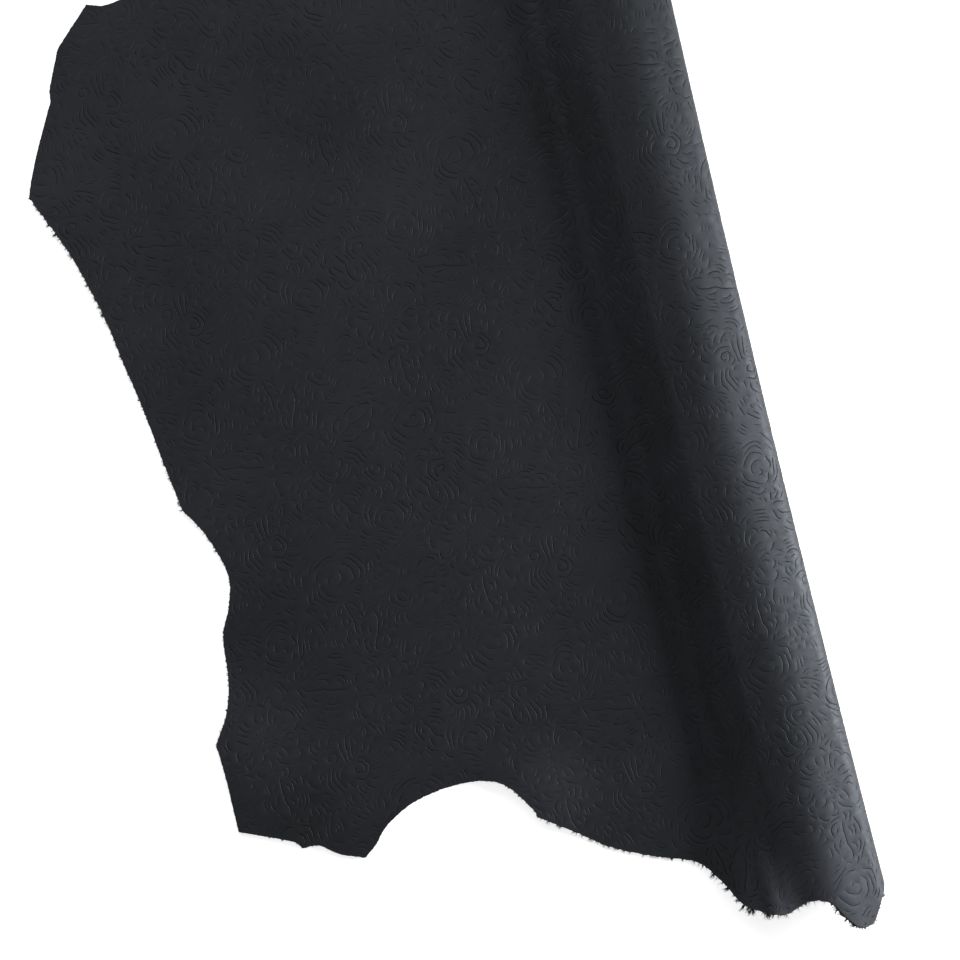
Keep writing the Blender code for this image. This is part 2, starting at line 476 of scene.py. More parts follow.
STAMEN_CHART = (
    # start, pull, other pull, end, weight
    ((3.9, 0.0), (5.0, 0.5), (6.2, 0.5), (7.8, 0.0), 0.85),
)
PETAL_CHART = (
    ((8.8, 2.6), (9.2, 7.4), (11.6, 10.8), (15.4, 10.4), 1.0),
    ((15.4, 10.4), (19.8, 10.4), (20.8, 7.0), (19.2, 4.4), 1.0),
    ((19.2, 4.4), (23.6, 4.6), (25.2, -1.0), (21.8, -4.2), 1.0),
    ((21.4, -5.2), (20.4, -8.8), (14.8, -10.2), (11.0, -7.4), 1.0),
    ((10.6, 2.4), (12.4, 5.8), (14.4, 7.0), (17.0, 6.6), 0.8),
    ((9.6, -0.2), (12.8, 0.9), (16.0, -0.4), (18.6, -2.8), 0.9),
    ((9.4, -2.8), (11.4, -4.6), (13.8, -5.6), (16.8, -5.2), 0.8),
)
SEPAL_CHART = (
    ((18.8, 2.0), (21.0, 4.4), (25.0, 3.6), (28.2, -0.6), 0.9),
    ((19.8, -1.2), (22.0, 0.6), (24.6, 0.2), (26.6, -2.2), 0.8),
)
BUD_CHART = (
    ((-8.6, -4.0), (-14.0, 4.0), (-8.0, 12.6), (-0.6, 10.4), 1.0),
    ((0.8, 11.6), (8.6, 13.4), (12.8, 5.6), (9.4, -2.2), 1.0),
    ((-4.4, -2.8), (-7.2, 4.8), (2.0, 8.6), (4.8, 3.8), 0.95),
    ((5.0, 3.2), (5.8, 0.2), (2.2, -1.8), (0.4, 0.8), 0.9),
    ((-9.6, -6.4), (-5.0, -4.2), (-3.2, -9.8), (1.4, -7.2), 1.0),
    ((1.8, -7.0), (4.8, -5.2), (7.6, -8.6), (10.8, -4.0), 1.0),
    ((-8.2, -10.0), (-3.4, -8.2), (0.6, -13.6), (7.6, -10.4), 0.95),
    ((-3.8, -13.4), (0.2, -14.8), (7.8, -15.4), (12.2, -8.4), 0.9),
    ((-11.8, -4.6), (-17.2, 0.6), (-15.4, 9.4), (-9.6, 11.8), 1.0),
    ((-14.4, -6.0), (-20.2, 1.2), (-18.6, 9.0), (-13.8, 13.2), 0.85),
    ((12.0, 0.6), (16.2, 5.4), (13.2, 11.8), (7.0, 13.6), 0.95),
    ((13.8, -4.2), (18.8, 1.0), (18.2, 7.4), (14.6, 11.2), 0.85),
)
SWIRL_CHART = (
    ((-5.4, -3.4), (-7.6, -8.8), (-13.4, -12.4), (-22.4, -11.6), 1.0),
    ((-7.8, -2.2), (-10.2, -6.4), (-15.0, -9.0), (-22.0, -8.2), 0.9),
    ((-3.2, -6.0), (-5.6, -10.8), (-10.4, -14.6), (-16.4, -15.4), 0.9),
    ((8.6, 2.0), (12.4, 2.4), (14.6, 5.4), (14.0, 9.8), 0.9),
    ((6.6, 6.0), (9.8, 7.8), (10.8, 11.4), (9.0, 15.4), 0.9),
    ((2.4, 8.6), (4.4, 11.4), (4.0, 15.2), (1.2, 18.4), 0.9),
    ((-2.4, 8.6), (-2.0, 11.6), (-3.6, 14.6), (-7.0, 16.4), 0.85),
)
FLAME_CHART = (
    ((0.0, 0.0), (9.0, 3.6), (20.0, -3.8), (31.0, 1.4), 1.0),
    ((1.2, 2.2), (0.8, 9.0), (7.0, 11.8), (12.2, 8.8), 1.0),
    ((11.6, 6.4), (14.2, 11.6), (19.6, 11.8), (23.4, 7.4), 1.0),
    ((22.4, 5.2), (25.4, 8.2), (30.0, 7.4), (34.6, 2.2), 1.0),
    ((1.6, -2.0), (2.8, -7.8), (8.8, -10.4), (13.8, -7.2), 1.0),
    ((13.2, -5.0), (16.2, -9.6), (21.8, -9.4), (25.4, -4.8), 1.0),
    ((24.6, -3.0), (27.6, -5.4), (31.4, -3.6), (34.2, 0.6), 1.0),
    ((4.2, 3.4), (5.2, 5.8), (7.2, 7.2), (10.0, 6.8), 0.8),
    ((12.4, 2.8), (14.4, 5.6), (17.0, 7.0), (20.4, 6.2), 0.8),
    ((5.4, -1.6), (6.4, -4.4), (9.0, -6.2), (12.0, -5.2), 0.8),
    ((15.4, -1.8), (17.4, -4.6), (20.0, -5.6), (23.2, -4.0), 0.8),
)
SPRAY_CHART = (
    ((6.2, 0.0), (9.6, 2.6), (13.6, -1.8), (18.6, 1.6), 0.95),
    ((8.0, 2.4), (10.4, 4.0), (12.6, 2.6), (15.4, 3.6), 0.85),
)
STEM_CHART = (
    ((0.0, 0.0), (8.0, 2.0), (16.0, -2.0), (27.0, 0.8), 1.0),
)
LEAF_CHART = (
    ((0.0, 1.8), (0.4, 4.6), (3.4, 7.2), (8.0, 7.0), 0.95),
    ((2.0, 1.8), (4.6, 2.2), (6.8, 4.0), (8.0, 7.0), 0.95),
)


def charted(chart: tuple) -> list[Cut]:
    """Draw the lines of a chart, a row for each curve's four points and its weight."""
    return [Cut(curve(*points), weight) for *points, weight in chart]


def fanned(chart: tuple, count: int, step: float, first: float = 0.0) -> list[Cut]:
    """Draw a chart a number of times, each turned a step further than the last."""
    return [Cut(turned(cut.path, first + step * number), cut.weight)
            for number in range(count) for cut in charted(chart)]


class Motif:
    """A motif of the embossing plate, drawn about its own origin in millimetres."""

    chart: tuple = ()
    corners: tuple = ()                 # of the border that keeps other motifs out

    def cuts(self) -> list[Cut]:
        """Return the motif's lines, in the order in which they are pressed."""
        return charted(self.chart)

    def border(self) -> np.ndarray:
        """Return the outline that keeps other motifs out of this one."""
        return np.array(self.corners, float)


class Bloom(Motif):
    """An open flower: a beaded heart, stamens, turned-over petals and the sepals between."""

    petals, beads, stamens = 5, 6, 14
    bead_ring = 2.3
    lobe, valley = 24.5, 19.5           # how far the border reaches at and between petals
    border_points = 60

    def cuts(self) -> list[Cut]:
        """Draw the flower from the heart outwards.

        Returns:
            Its lines.
        """
        heart = [Cut(bead(0), 1.0)]
        heart += [Cut(turned(bead(self.bead_ring), 360 * number / self.beads), 1.0)
                  for number in range(self.beads)]
        step = 360 / self.petals
        return (heart + fanned(STAMEN_CHART, self.stamens, 360 / self.stamens)
                + fanned(PETAL_CHART, self.petals, step)
                + fanned(SEPAL_CHART, self.petals, step, step / 2))

    def border(self) -> np.ndarray:
        """Draw an outline that waves in between the petals.

        Returns:
            Its points.
        """
        angle = np.linspace(0, 2 * np.pi, self.border_points, endpoint=False)
        wave = 0.5 + 0.5 * np.cos(self.petals * angle)
        return spun(angle, self.valley + (self.lobe - self.valley) * wave)


class Bud(Motif):
    """A half-open bud: petals folded over one another in wavy cups."""

    chart = BUD_CHART
    rim = 15.0

    def border(self) -> np.ndarray:
        """Return a circle round the bud."""
        return sweep(self.rim, start=0, turn=360)


class Swirl(Motif):
    """A small tight curl with long tails behind it and a comb of feathers on its back."""

    radius, rim = 4.6, 7.2
    tighten = 0.68                      # share of the radius that the curl loses inward
    gap = 1.4                           # between the rim and the border

    def cuts(self) -> list[Cut]:
        """Draw the curl, its back and what springs from them.

        Returns:
            Their lines.
        """
        curl = Cut(sweep(self.radius, start=200, turn=-400, tighten=self.tighten), 1.0)
        back = Cut(sweep(self.rim, start=190, turn=-215), 1.0)
        return [curl, back] + charted(SWIRL_CHART)

    def border(self) -> np.ndarray:
        """Return a circle round the curl."""
        return sweep(self.rim + self.gap, start=0, turn=360)


class Flame(Motif):
    """An acanthus leaf of paired lobes that runs out to a point along its first axis."""

    chart = FLAME_CHART
    corners = ((0, -2), (5, -9), (15, -9), (26, -6), (35, 1), (26, 9), (14, 10.5), (4, 9), (0, 2))


class Spray(Motif):
    """A fan of long and short curved strokes that spread from one foot."""

    strokes, spread = 5, 19.0
    corners = ((4, -3), (10, -12), (17, -8), (19, 0), (17, 8), (10, 12), (4, 3))

    def cuts(self) -> list[Cut]:
        """Return the fan's strokes."""
        return fanned(SPRAY_CHART, self.strokes, self.spread,
                      -self.spread * (self.strokes - 1) / 2)


class Sprig(Motif):
    """A stem with pairs of small pointed leaves."""

    joints = (2.0, 9.0, 16.0)           # where the leaves sit on the stem
    corners = ((0, -5), (10, -8), (24, -7), (28, 0), (24, 7), (10, 8), (0, 5))

    def cuts(self) -> list[Cut]:
        """Draw the stem and a pair of leaves at each joint.

        Returns:
            Their lines.
        """
        lines = charted(STEM_CHART)
        for joint, side in itertools.product(self.joints, (1, -1)):
            lines += [Cut((leaf.path + (joint, 0)) * (1, side), leaf.weight)
                      for leaf in charted(LEAF_CHART)]
        return lines


class Kind(Enum):
    """The kinds of motif on the embossing plate."""

    BLOOM = Bloom
    BUD = Bud
    SWIRL = Swirl
    FLAME = Flame
    SPRAY = Spray
    SPRIG = Sprig


class Placing(NamedTuple):
    """Where a motif sits on the plate, in millimetres, and how it is turned."""

    across: float
    along: float
    turn: float
    size: float
    hand: int                           # -1 is mirrored


PLATE_CHART = {
    # kind: a placing in each row
    Kind.BLOOM: (
        (41, 37, 10, 0.96, 1), (122, 112, 46, 1.00, -1),
    ),
    Kind.BUD: (
        (112, 30, -24, 0.98, 1), (34, 105, 160, 1.04, -1), (153, 62, 104, 0.90, 1),
        (79, 84, 20, 0.86, -1),
    ),
    Kind.SWIRL: (
        (82, 52, 16, 1.00, 1), (70, 132, 200, 1.00, -1), (6, 76, 118, 0.96, -1),
        (120, 66, 300, 1.00, -1), (156, 138, 240, 0.96, 1),
    ),
    Kind.FLAME: (
        (54, 60, 62, 0.94, 1), (66, 26, -22, 0.92, -1), (18, 28, 202, 0.98, 1),
        (44, 12, -74, 0.90, -1), (98, 120, 158, 0.84, 1), (114, 88, 248, 0.92, -1),
        (146, 122, 22, 0.92, 1), (122, 137, 94, 0.90, 1),
    ),
    Kind.SPRIG: (
        (128, 44, 30, 0.92, -1), (34, 122, 84, 0.92, -1), (18, 50, 128, 0.92, 1),
        (92, 8, 150, 0.88, 1),
    ),
    Kind.SPRAY: (
        (138, 6, 60, 0.98, 1), (56, 96, 100, 0.95, -1), (100, 94, -10, 0.90, 1),
        (8, 112, 250, 1.00, 1), (150, 92, 320, 0.92, -1), (98, 46, 120, 0.90, 1),
        (84, 150, 20, 0.95, -1),
    ),
}


# ---------------------------------------------------------------- pressing the pattern


class PlateMap:
    """A raster of the flat hide that keeps track of where grooves may still go."""

    def __init__(self, outline: np.ndarray, cell: float = 0.4 * MM) -> None:
        """Lay the raster over the hide, with everything outside its outline shut.

        Args:
            outline: the hide's outline in the flat.
            cell: the size of one cell.
        """
        margin = 4 * MM
        self.cell = cell
        self.low = outline.min(axis=0) - margin
        self.shape = np.ceil((outline.max(axis=0) + margin - self.low) / cell).astype(int)
        self.shut = np.ones(self.shape, bool)
        self.owner = np.zeros(self.shape, int)
        for row, start, end in self.rows_inside(outline):
            self.shut[row, start:end] = False

    def cells(self, places: np.ndarray) -> tuple[np.ndarray, np.ndarray]:
        """Return the rows and columns of flat places, off the raster those of its edge."""
        index = np.clip(np.floor((places - self.low) / self.cell), 0, self.shape - 1).astype(int)
        return index[..., 0], index[..., 1]

    def rows_inside(self, border: np.ndarray) -> list[tuple[int, int, int]]:
        """Find the cells inside a closed line.

        Args:
            border: the line's flat places.

        Returns:
            Row, first cell and end cell of each stretch.
        """
        line = (border - self.low) / self.cell - 0.5
        after = np.roll(line, -1, axis=0)
        first = max(0, math.ceil(line[:, 0].min()))
        last = min(self.shape[0] - 1, math.floor(line[:, 0].max()))
        stretches = []
        for row in range(first, last + 1):
            hit = (line[:, 0] > row) != (after[:, 0] > row)
            part = (row - line[hit, 0]) / (after[hit, 0] - line[hit, 0])
            crossings = np.sort(line[hit, 1] + part * (after[hit, 1] - line[hit, 1]))
            ends = np.clip(np.ceil(crossings), 0, self.shape[1]).astype(int)
            stretches += [(row, *pair) for pair in zip(ends[::2], ends[1::2])]
        return stretches

    def shut_round(self, places: np.ndarray, radius: float) -> None:
        """Shut the cells round flat places.

        Args:
            places: the flat places.
            radius: how far from them the cells are shut.
        """
        reach = math.ceil(radius / self.cell)
        side = np.arange(-reach, reach + 1)
        off_row, off_column = np.meshgrid(side, side, indexing="ij")
        disc = np.hypot(off_row, off_column) * self.cell <= radius
        rows, columns = self.cells(places)
        rows = np.clip(rows[:, None] + off_row[disc], 0, self.shape[0] - 1)
        columns = np.clip(columns[:, None] + off_column[disc], 0, self.shape[1] - 1)
        self.shut[rows, columns] = True

    def claim(self, border: np.ndarray, owner: int) -> None:
        """Keep the cells inside a border, where nobody has them yet, for one motif.

        Args:
            border: the border's flat places.
            owner: the motif's number.
        """
        for row, start, end in self.rows_inside(border):
            stretch = self.owner[row, start:end]
            stretch[stretch == 0] = owner

    def open_at(self, places: np.ndarray, owner: int = 0) -> np.ndarray:
        """Tell where a motif may still press.

        Args:
            places: flat places.
            owner: the motif's number, or zero for filling between the motifs.

        Returns:
            Whether each place is open.
        """
        cells = self.cells(places)
        whose = self.owner[cells]
        return ~self.shut[cells] & ((whose == 0) | (whose == owner))


class Groove(NamedTuple):
    """A groove in the grain side: its flat path, width and depth, in metres."""

    path: np.ndarray
    width: float
    depth: float


@dataclass
class EmbossingPlate:
    """Presses the pattern into the flat hide, in a half-drop repeat."""

    outline: TrimmedOutline
    repeat_across: float = 164 * MM
    repeat_along: float = 148 * MM
    skew: float = -7.0                  # how far the hide lay askew under the plate
    hand: tuple = ((19.0, 0.7), (9.1, 0.25))    # the carver's waver: wave and reach, in mm
    hand_slant: float = 0.6             # how far those waves run askew
    groove_width: float = 0.70 * MM
    narrowest: float = 0.45             # width of a groove of no weight, as a share
    groove_depth: float = 0.26 * MM
    wear: tuple = (0.85, 1.15)          # least and greatest share of that depth
    bite_waves: tuple = (17.0, 41.0, 23.0, 37.0)    # of its patches, in mm to a radian
    bite_spread: float = 0.25
    line_gap: float = 1.5 * MM          # least distance between the middles of two lines
    fill_gap: float = 2.9 * MM          # the same round the strokes that fill the ground
    fill_pitch: float = 3.0 * MM
    echo_gap: float = 2.3 * MM          # between the strokes of one group
    edge_gap: float = 1.3 * MM
    shortest: float = 1.8 * MM
    nearly_whole: float = 0.9           # a line is pressed if this share of it is free
    fewest_points: int = 3
    fill_shortest: float = 3.4 * MM
    fill_reach: tuple = (3.0, 7.0)      # of a stroke each way from its start, in millimetres
    fill_curl: float = 3.2              # spread of a stroke's own turn at each step
    fill_weight: tuple = (0.65, 1.0)
    fill_count: tuple = (2, 4)          # strokes in one group
    fill_clip: tuple = (0.05, 0.16)     # share that each is shorter than the one before
    fill_points: int = 6                # the fewest in a stroke

    def __post_init__(self) -> None:
        """Start with an empty hide."""
        self.map = PlateMap(self.outline.line[:, :2])
        self.map.shut_round(self.outline.line[:, :2], self.edge_gap)
        self.grooves: list[Groove] = []
        self.draw = np.random.default_rng(SEED + 2)

    def press(self, path: np.ndarray, weight: float, owner: int, shortest: float) -> bool:
        """Press one line, except where it would run into what is there already.

        Args:
            path: its flat places, about half a millimetre apart.
            weight: how heavily it is pressed.
            owner: the number of its motif.
            shortest: the shortest stretch that is still pressed.

        Returns:
            Whether any of it was pressed.
        """
        before = len(self.grooves)
        open_here = self.map.open_at(path, owner)
        if not open_here.any():
            return False
        changes = np.flatnonzero(np.diff(open_here.astype(int))) + 1
        whole = run_of(path)[-1]
        for stretch in np.split(np.arange(len(path)), changes):
            part = path[stretch]
            if not open_here[stretch[0]] or len(part) < self.fewest_points:
                continue
            if run_of(part)[-1] < min(shortest, self.nearly_whole * whole):
                continue
            worn = self.draw.uniform(*self.wear) * self.bite(part[len(part) // 2])
            width = self.groove_width * (self.narrowest + (1 - self.narrowest) * weight)
            self.grooves.append(Groove(part, width, self.groove_depth * weight * worn))
            self.map.shut_round(part, self.line_gap)
        return len(self.grooves) > before

    def bite(self, place: np.ndarray) -> float:
        """Work out how deep the plate bit, in broad patches.

        Args:
            place: a flat place.

        Returns:
            The depth there, as a share of the usual one.
        """
        across, along = place / MM
        wave, warp, other_wave, other_warp = self.bite_waves
        patch = math.sin(across / wave + 2 * math.sin(along / warp))
        patch *= math.sin(along / other_wave + 1.5 * math.sin(across / other_warp))
        return 1.0 + self.bite_spread * patch

    def repeats(self) -> list[np.ndarray]:
        """Lay out the plate's repeats, every other column half a plate further along.

        Returns:
            The flat places of the plate's corner.
        """
        low = self.outline.line[:, :2].min(axis=0)
        high = self.outline.line[:, :2].max(axis=0)
        centre = (low + high) / 2
        reach = np.linalg.norm(high - low) / 2 + self.repeat_across
        columns = math.ceil(reach / self.repeat_across)
        rows = math.ceil(reach / self.repeat_along)
        corners = []
        for column in range(-columns, columns + 1):
            drop = 0.5 * (column % 2)
            for row in range(-rows, rows + 1):
                corner = np.array([column * self.repeat_across, (row + drop) * self.repeat_along])
                corners.append(centre + turned(corner, self.skew))
        return corners

    def place(self, placing: Placing, corner: np.ndarray, path: np.ndarray) -> np.ndarray:
        """Carry a motif's path to its place on the hide.

        Args:
            placing: where the motif sits on the plate.
            corner: the plate's corner.
            path: the path about the motif's own origin, in millimetres.

        Returns:
            The path's flat places, in metres.
        """
        own = turned(path * np.array([1, placing.hand]) * placing.size, placing.turn)
        on_plate = own + np.array([placing.across, placing.along])
        for wave, reach in self.hand:
            phase = 2 * math.pi / wave * (on_plate[:, ::-1] + self.hand_slant * on_plate)
            on_plate = on_plate + reach * np.sin(phase)
        return corner + turned(on_plate * MM, self.skew)

    def press_motifs(self) -> None:
        """Press every motif of the plate's chart at every repeat."""
        placed = [(kind.value(), Placing(*row)) for kind, rows in PLATE_CHART.items()
                  for row in rows]
        spots = itertools.product(placed, self.repeats())
        for owner, ((motif, placing), corner) in enumerate(spots, start=1):
            border = self.place(placing, corner, motif.border())
            if not self.map.open_at(border, owner).any():
                continue
            self.map.claim(border, owner)
            for cut in motif.cuts():
                path = self.place(placing, corner, cut.path)
                self.press(path, cut.weight, owner, self.shortest)

    def fill_ground(self) -> None:
        """Fill the ground with groups of short strokes that echo the lines near them."""
        places = np.concatenate([groove.path for groove in self.grooves])
        ways = np.concatenate([unit(np.gradient(groove.path, axis=0)) for groove in self.grooves])
        tree = KDTree(len(places))
        for number, place in enumerate(places):
            tree.insert((*place, 0.0), number)
        tree.balance()
        low, high = self.map.low, self.map.low + self.map.shape * self.map.cell
        across, along = np.meshgrid(np.arange(low[0], high[0], self.fill_pitch),
                                    np.arange(low[1], high[1], self.fill_pitch))
        starts = np.column_stack([across.ravel(), along.ravel()])
        starts += self.draw.uniform(-0.5, 0.5, starts.shape) * self.fill_pitch
        starts = starts[self.map.open_at(starts)]
        self.draw.shuffle(starts)
        for start in starts:
            if self.map.open_at(start[None])[0]:
                reach = self.draw.uniform(*self.fill_reach) * MM
                curl = self.draw.normal(0, self.fill_curl)
                self.press_group(self.echo(start, ways, tree, reach, curl))

    def press_group(self, path: np.ndarray) -> None:
        """Press a group of strokes side by side, as far as there is room for them.

        Args:
            path: the flat places of the first stroke.
        """
        aside = left_of(unit(np.gradient(path, axis=0))) * self.echo_gap
        aside *= self.draw.choice([-1, 1])
        group = []
        weight = self.draw.uniform(*self.fill_weight)
        for number in range(self.draw.integers(*self.fill_count, endpoint=True)):
            clip = number * round(len(path) * self.draw.uniform(*self.fill_clip))
            stroke = (path + aside * number)[clip // 2:len(path) - clip]
            if len(stroke) < self.fill_points or self.folds(stroke):
                break
            if not self.press(stroke, weight, 0, self.fill_shortest):
                break
            group.append(stroke)
        if group:
            self.map.shut_round(np.concatenate(group), self.fill_gap)

    def folds(self, path: np.ndarray) -> bool:
        """Tell whether a path turns sharply or runs into itself.

        Args:
            path: its flat places.

        Returns:
            Whether it does.
        """
        run, steps = run_of(path), np.diff(path, axis=0)
        between = np.abs(run[:, None] - run)
        apart = np.linalg.norm(path[:, None] - path, axis=2)
        near = apart < 0.5 * np.minimum(between, 2 * self.line_gap)
        return bool(near.any() or ((steps[1:] * steps[:-1]).sum(axis=1) <= 0).any())

    def echo(self, start: np.ndarray, ways: np.ndarray, tree: KDTree,
             reach: float, curl: float) -> np.ndarray:
        """Follow the lines near a place, both ways from it.

        Args:
            start: the flat place.
            ways: the directions of the lines' points.
            tree: finds the nearest of those points.
            reach: how far to go each way.
            curl: how far it turns off from those lines at each step, in degrees.

        Returns:
            The path's flat places.
        """
        step, ease = 0.5 * MM, 0.3
        halves = []
        for sense in (-1, 1):
            place, heading, half = start, None, []
            for _ in range(round(reach / step)):
                _, nearest, _ = tree.find((*place, 0.0))
                way = ways[nearest]
                if heading is None:
                    heading = way * sense
                blend = (1 - ease) * heading + ease * way * np.sign(way @ heading)
                heading = turned(blend / math.hypot(*blend), curl * sense)
                place = place + heading * step
                half.append(place)
            halves.append(half)
        return np.array(halves[0][::-1] + [start] + halves[1])

    def pressed(self) -> list[Groove]:
        """Press the whole pattern.

        Returns:
            Its grooves.
        """
        self.press_motifs()
        motif_lines = len(self.grooves)
        self.fill_ground()
        total = sum(run_of(groove.path)[-1] for groove in self.grooves)
        log.info("pressed %d motif lines and %d ground lines, %.1f m in all",
                 motif_lines, len(self.grooves) - motif_lines, total)
        return self.grooves


# ---------------------------------------------------------------- the sheet


@dataclass
class Net:
    """Points of one side of the hide in the flat, before they are joined to triangles."""

    places: np.ndarray                  # flat places
    sunk: np.ndarray                    # depth under the grain side
    toward: np.ndarray                  # flat direction to the groove's middle, or zero
    slope: np.ndarray                   # how steep the groove's wall is
    groove: np.ndarray                  # the number of its groove, or -1
    sides: np.ndarray                   # pairs of points that stay joined

    @staticmethod
    def plain(places: np.ndarray, closed: bool = False) -> "Net":
        """Make a net of points that are in no groove.

        Args:
            places: their flat places.
            closed: whether they are joined to a ring.

        Returns:
            The net.
        """
        count = len(places)
        ring = np.arange(count if closed else 0)
        sides = np.column_stack([ring, (ring + 1) % max(count, 1)])
        return Net(places, sunk=np.zeros(count), toward=np.zeros((count, 2)),
                   slope=np.zeros(count), groove=np.full(count, -1), sides=sides)

    @staticmethod
    def joined(nets: list["Net"]) -> "Net":
        """Put nets together in one.

        Args:
            nets: the nets.

        Returns:
            The one net, with their points in the same order.
        """
        first = np.cumsum([0] + [len(net.places) for net in nets[:-1]])
        sides = [net.sides + start for net, start in zip(nets, first)]
        return Net(*(np.concatenate([getattr(net, name) for net in nets])
                     for name in ("places", "sunk", "toward", "slope", "groove")),
                   np.concatenate(sides))

    def triangles(self) -> tuple["Net", np.ndarray]:
        """Join the points to triangles.

        Returns:
            The net in the order that the triangles count its points, and the triangles.
        """
        points = [Vector(place) for place in self.places]
        triangles_inside, touching = 1, 0.01 * MM
        flat, _, faces, origins, _, _ = delaunay_2d_cdt(
            points, self.sides.tolist(), [], triangles_inside, touching)
        crossings = sum(not origin for origin in origins)
        if crossings:
            log.warning("%d points lie where two lines cross", crossings)
        known = np.array([origin[0] if origin else -1 for origin in origins])
        net = Net(np.array(flat)[:, :2], self.sunk[known], self.toward[known],
                  self.slope[known], self.groove[known], self.sides)
        for values in (net.sunk, net.toward, net.slope):
            values[known < 0] = 0
        net.groove[known < 0] = -1
        return net, np.array(faces)


@dataclass
class LeatherSheet:
    """The hide itself: pressed grain side, cut edge and flesh side in one closed piece."""

    lie: Lie
    outline: TrimmedOutline
    plate: EmbossingPlate
    longest_step: float = 7 * MM        # along a groove
    flatness: float = 0.11 * MM         # how far a groove's curve may stray between two steps
    taper: float = 1.5 * MM             # run-out at a groove's ends
    longest_taper: float = 0.45         # the same, as a share of the groove's length
    lip: float = 0.10                   # how far the ground rolls over into a groove
    grain_cells: tuple = (8 * MM, 5 * MM, 3.4 * MM)     # on the flat, the rise and the roll
    flesh_cells: tuple = (16 * MM, 3.4 * MM, 4.5 * MM)
    groove_clear: float = 1.9 * MM      # from a groove to the next point of the ground
    grain_clear: float = 2.2 * MM       # the same from the edge of the grain side
    flesh_clear: float = 5 * MM
    edge_roughness: float = 0.12 * MM

    def groove_net(self, number: int, groove: Groove) -> Net:
        """Make the net of one groove: two rims and a middle line that meet at its ends.

        Args:
            number: the groove's number.
            groove: the groove.

        Returns:
            Its net.
        """
        run = run_of(groove.path)
        steps = np.diff(groove.path, axis=0)
        spans = np.diff(run)
        heading = np.unwrap(np.arctan2(steps[:, 1], steps[:, 0]))
        turns = np.abs(np.gradient(heading)) if len(heading) > 1 else np.zeros(1)
        density = np.maximum(1 / self.longest_step, np.sqrt(turns / spans / (8 * self.flatness)))
        need = from_zero(density * spans)
        count = max(2, math.ceil(need[-1])) + 1
        at = np.interp(np.linspace(0, need[-1], count), need, run)
        knots = np.column_stack([np.interp(at, run, groove.path[:, axis]) for axis in (0, 1)])
        aside = left_of(unit(np.gradient(knots, axis=0)))[1:-1]
        taper = min(self.taper, self.longest_taper * run[-1])
        fade = np.clip(np.minimum(at, run[-1] - at)[1:-1] / taper, 0, 1) ** 0.5
        half = (groove.width / 2 * fade)[:, None]
        inner = count - 2
        places = np.concatenate([
            knots[[0, -1]], knots[1:-1], knots[1:-1] + aside * half, knots[1:-1] - aside * half])
        chains = [np.concatenate([[0], 2 + row * inner + np.arange(inner), [1]])
                  for row in range(3)]
        middle, rims = np.zeros(2 + inner), np.zeros(2 * inner)
        slope = 2 * groove.depth / groove.width
        return Net(
            places,
            sunk=np.concatenate([[0, 0], groove.depth * fade, rims]),
            toward=np.concatenate([np.zeros((2 + inner, 2)), -aside, aside]),
            slope=np.concatenate([middle, rims + slope]),
            groove=np.full(len(places), number),
            sides=np.concatenate([
                np.column_stack([chain[:-1], chain[1:]]) for chain in chains]))

    def ground_points(self, cells: tuple[float, float, float], clear: PlateMap) -> np.ndarray:
        """Spread points over the hide, closer together across the bend.

        Args:
            cells: the spacing on the flat, on the rise and on the roll.
            clear: a map that is open where points may go.

        Returns:
            The points' flat places.
        """
        section = self.lie.section
        low, high = self.outline.line[:, :2].min(axis=0), self.outline.line[:, :2].max(axis=0)
        flat_cell, rise_cell, roll_cell = cells
        stretches = ((low[0], section.lift_off, flat_cell, flat_cell),
                     (section.lift_off, section.crest, rise_cell, flat_cell),
                     (section.crest, section.landing, roll_cell, 2 * roll_cell),
                     (section.landing, high[0], flat_cell, flat_cell))
        spread = []
        for start, end, cell, row_cell in stretches:
            columns = np.linspace(start, end, max(2, round((end - start) / cell)), endpoint=False)
            rows = np.arange(0, high[1], row_cell)
            across, along = np.meshgrid(columns, rows, indexing="ij")
            along = along + row_cell / 2 * (np.arange(len(columns)) % 2)[:, None]
            spread.append(np.column_stack([across.ravel(), along.ravel()]))
        points = np.concatenate(spread)
        return points[clear.open_at(points)]

    def side(self, edge: np.ndarray, grooves: list[Groove], edge_clear: float,
             cells: tuple[float, float, float]) -> tuple[Net, np.ndarray]:
        """Work out one side of the hide in the flat.

        Args:
            edge: its edge, the first points of the net.
            grooves: the grooves in it.
            edge_clear: the distance from its edge to the next point.
            cells: the spacing of its other points on the flat, on the rise and on the roll.

        Returns:
            The net and its triangles.
        """
        clear = PlateMap(self.outline.line[:, :2])
        clear.shut_round(edge, edge_clear)
        for groove in grooves:
            clear.shut_round(groove.path, self.groove_clear)
        nets = [self.groove_net(*numbered) for numbered in enumerate(grooves)]
        ground = Net.plain(self.ground_points(cells, clear))
        return Net.joined([Net.plain(edge, closed=True), *nets, ground]).triangles()

    def build(self) -> bpy.types.Object:
        """Make the sheet's mesh.

        Returns:
            The sheet, its faces numbered for three materials: grain, flesh and cut edge.
        """
        half = self.lie.thickness / 2
        grain_edge, flesh_edge = self.outline.grain_edge(), self.outline.flesh_edge()
        grain, grain_faces = self.side(
            grain_edge, self.plate.pressed(), self.grain_clear, self.grain_cells)
        flesh, flesh_faces = self.side(flesh_edge, [], self.flesh_clear, self.flesh_cells)
        draw = np.random.default_rng(SEED + 3)
        rough = draw.normal(0, self.edge_roughness, len(grain_edge))[:, None]
        between = (grain_edge + flesh_edge) / 2 + self.outline.outward * rough

        upward = self.lie.normals(grain.places)
        grain_points = self.lie.middle(grain.places) + upward * (half - grain.sunk)[:, None]
        flesh_points = self.lie.middle(flesh.places) - self.lie.normals(flesh.places) * half
        points = np.concatenate([grain_points, flesh_points, self.lie.middle(between)])

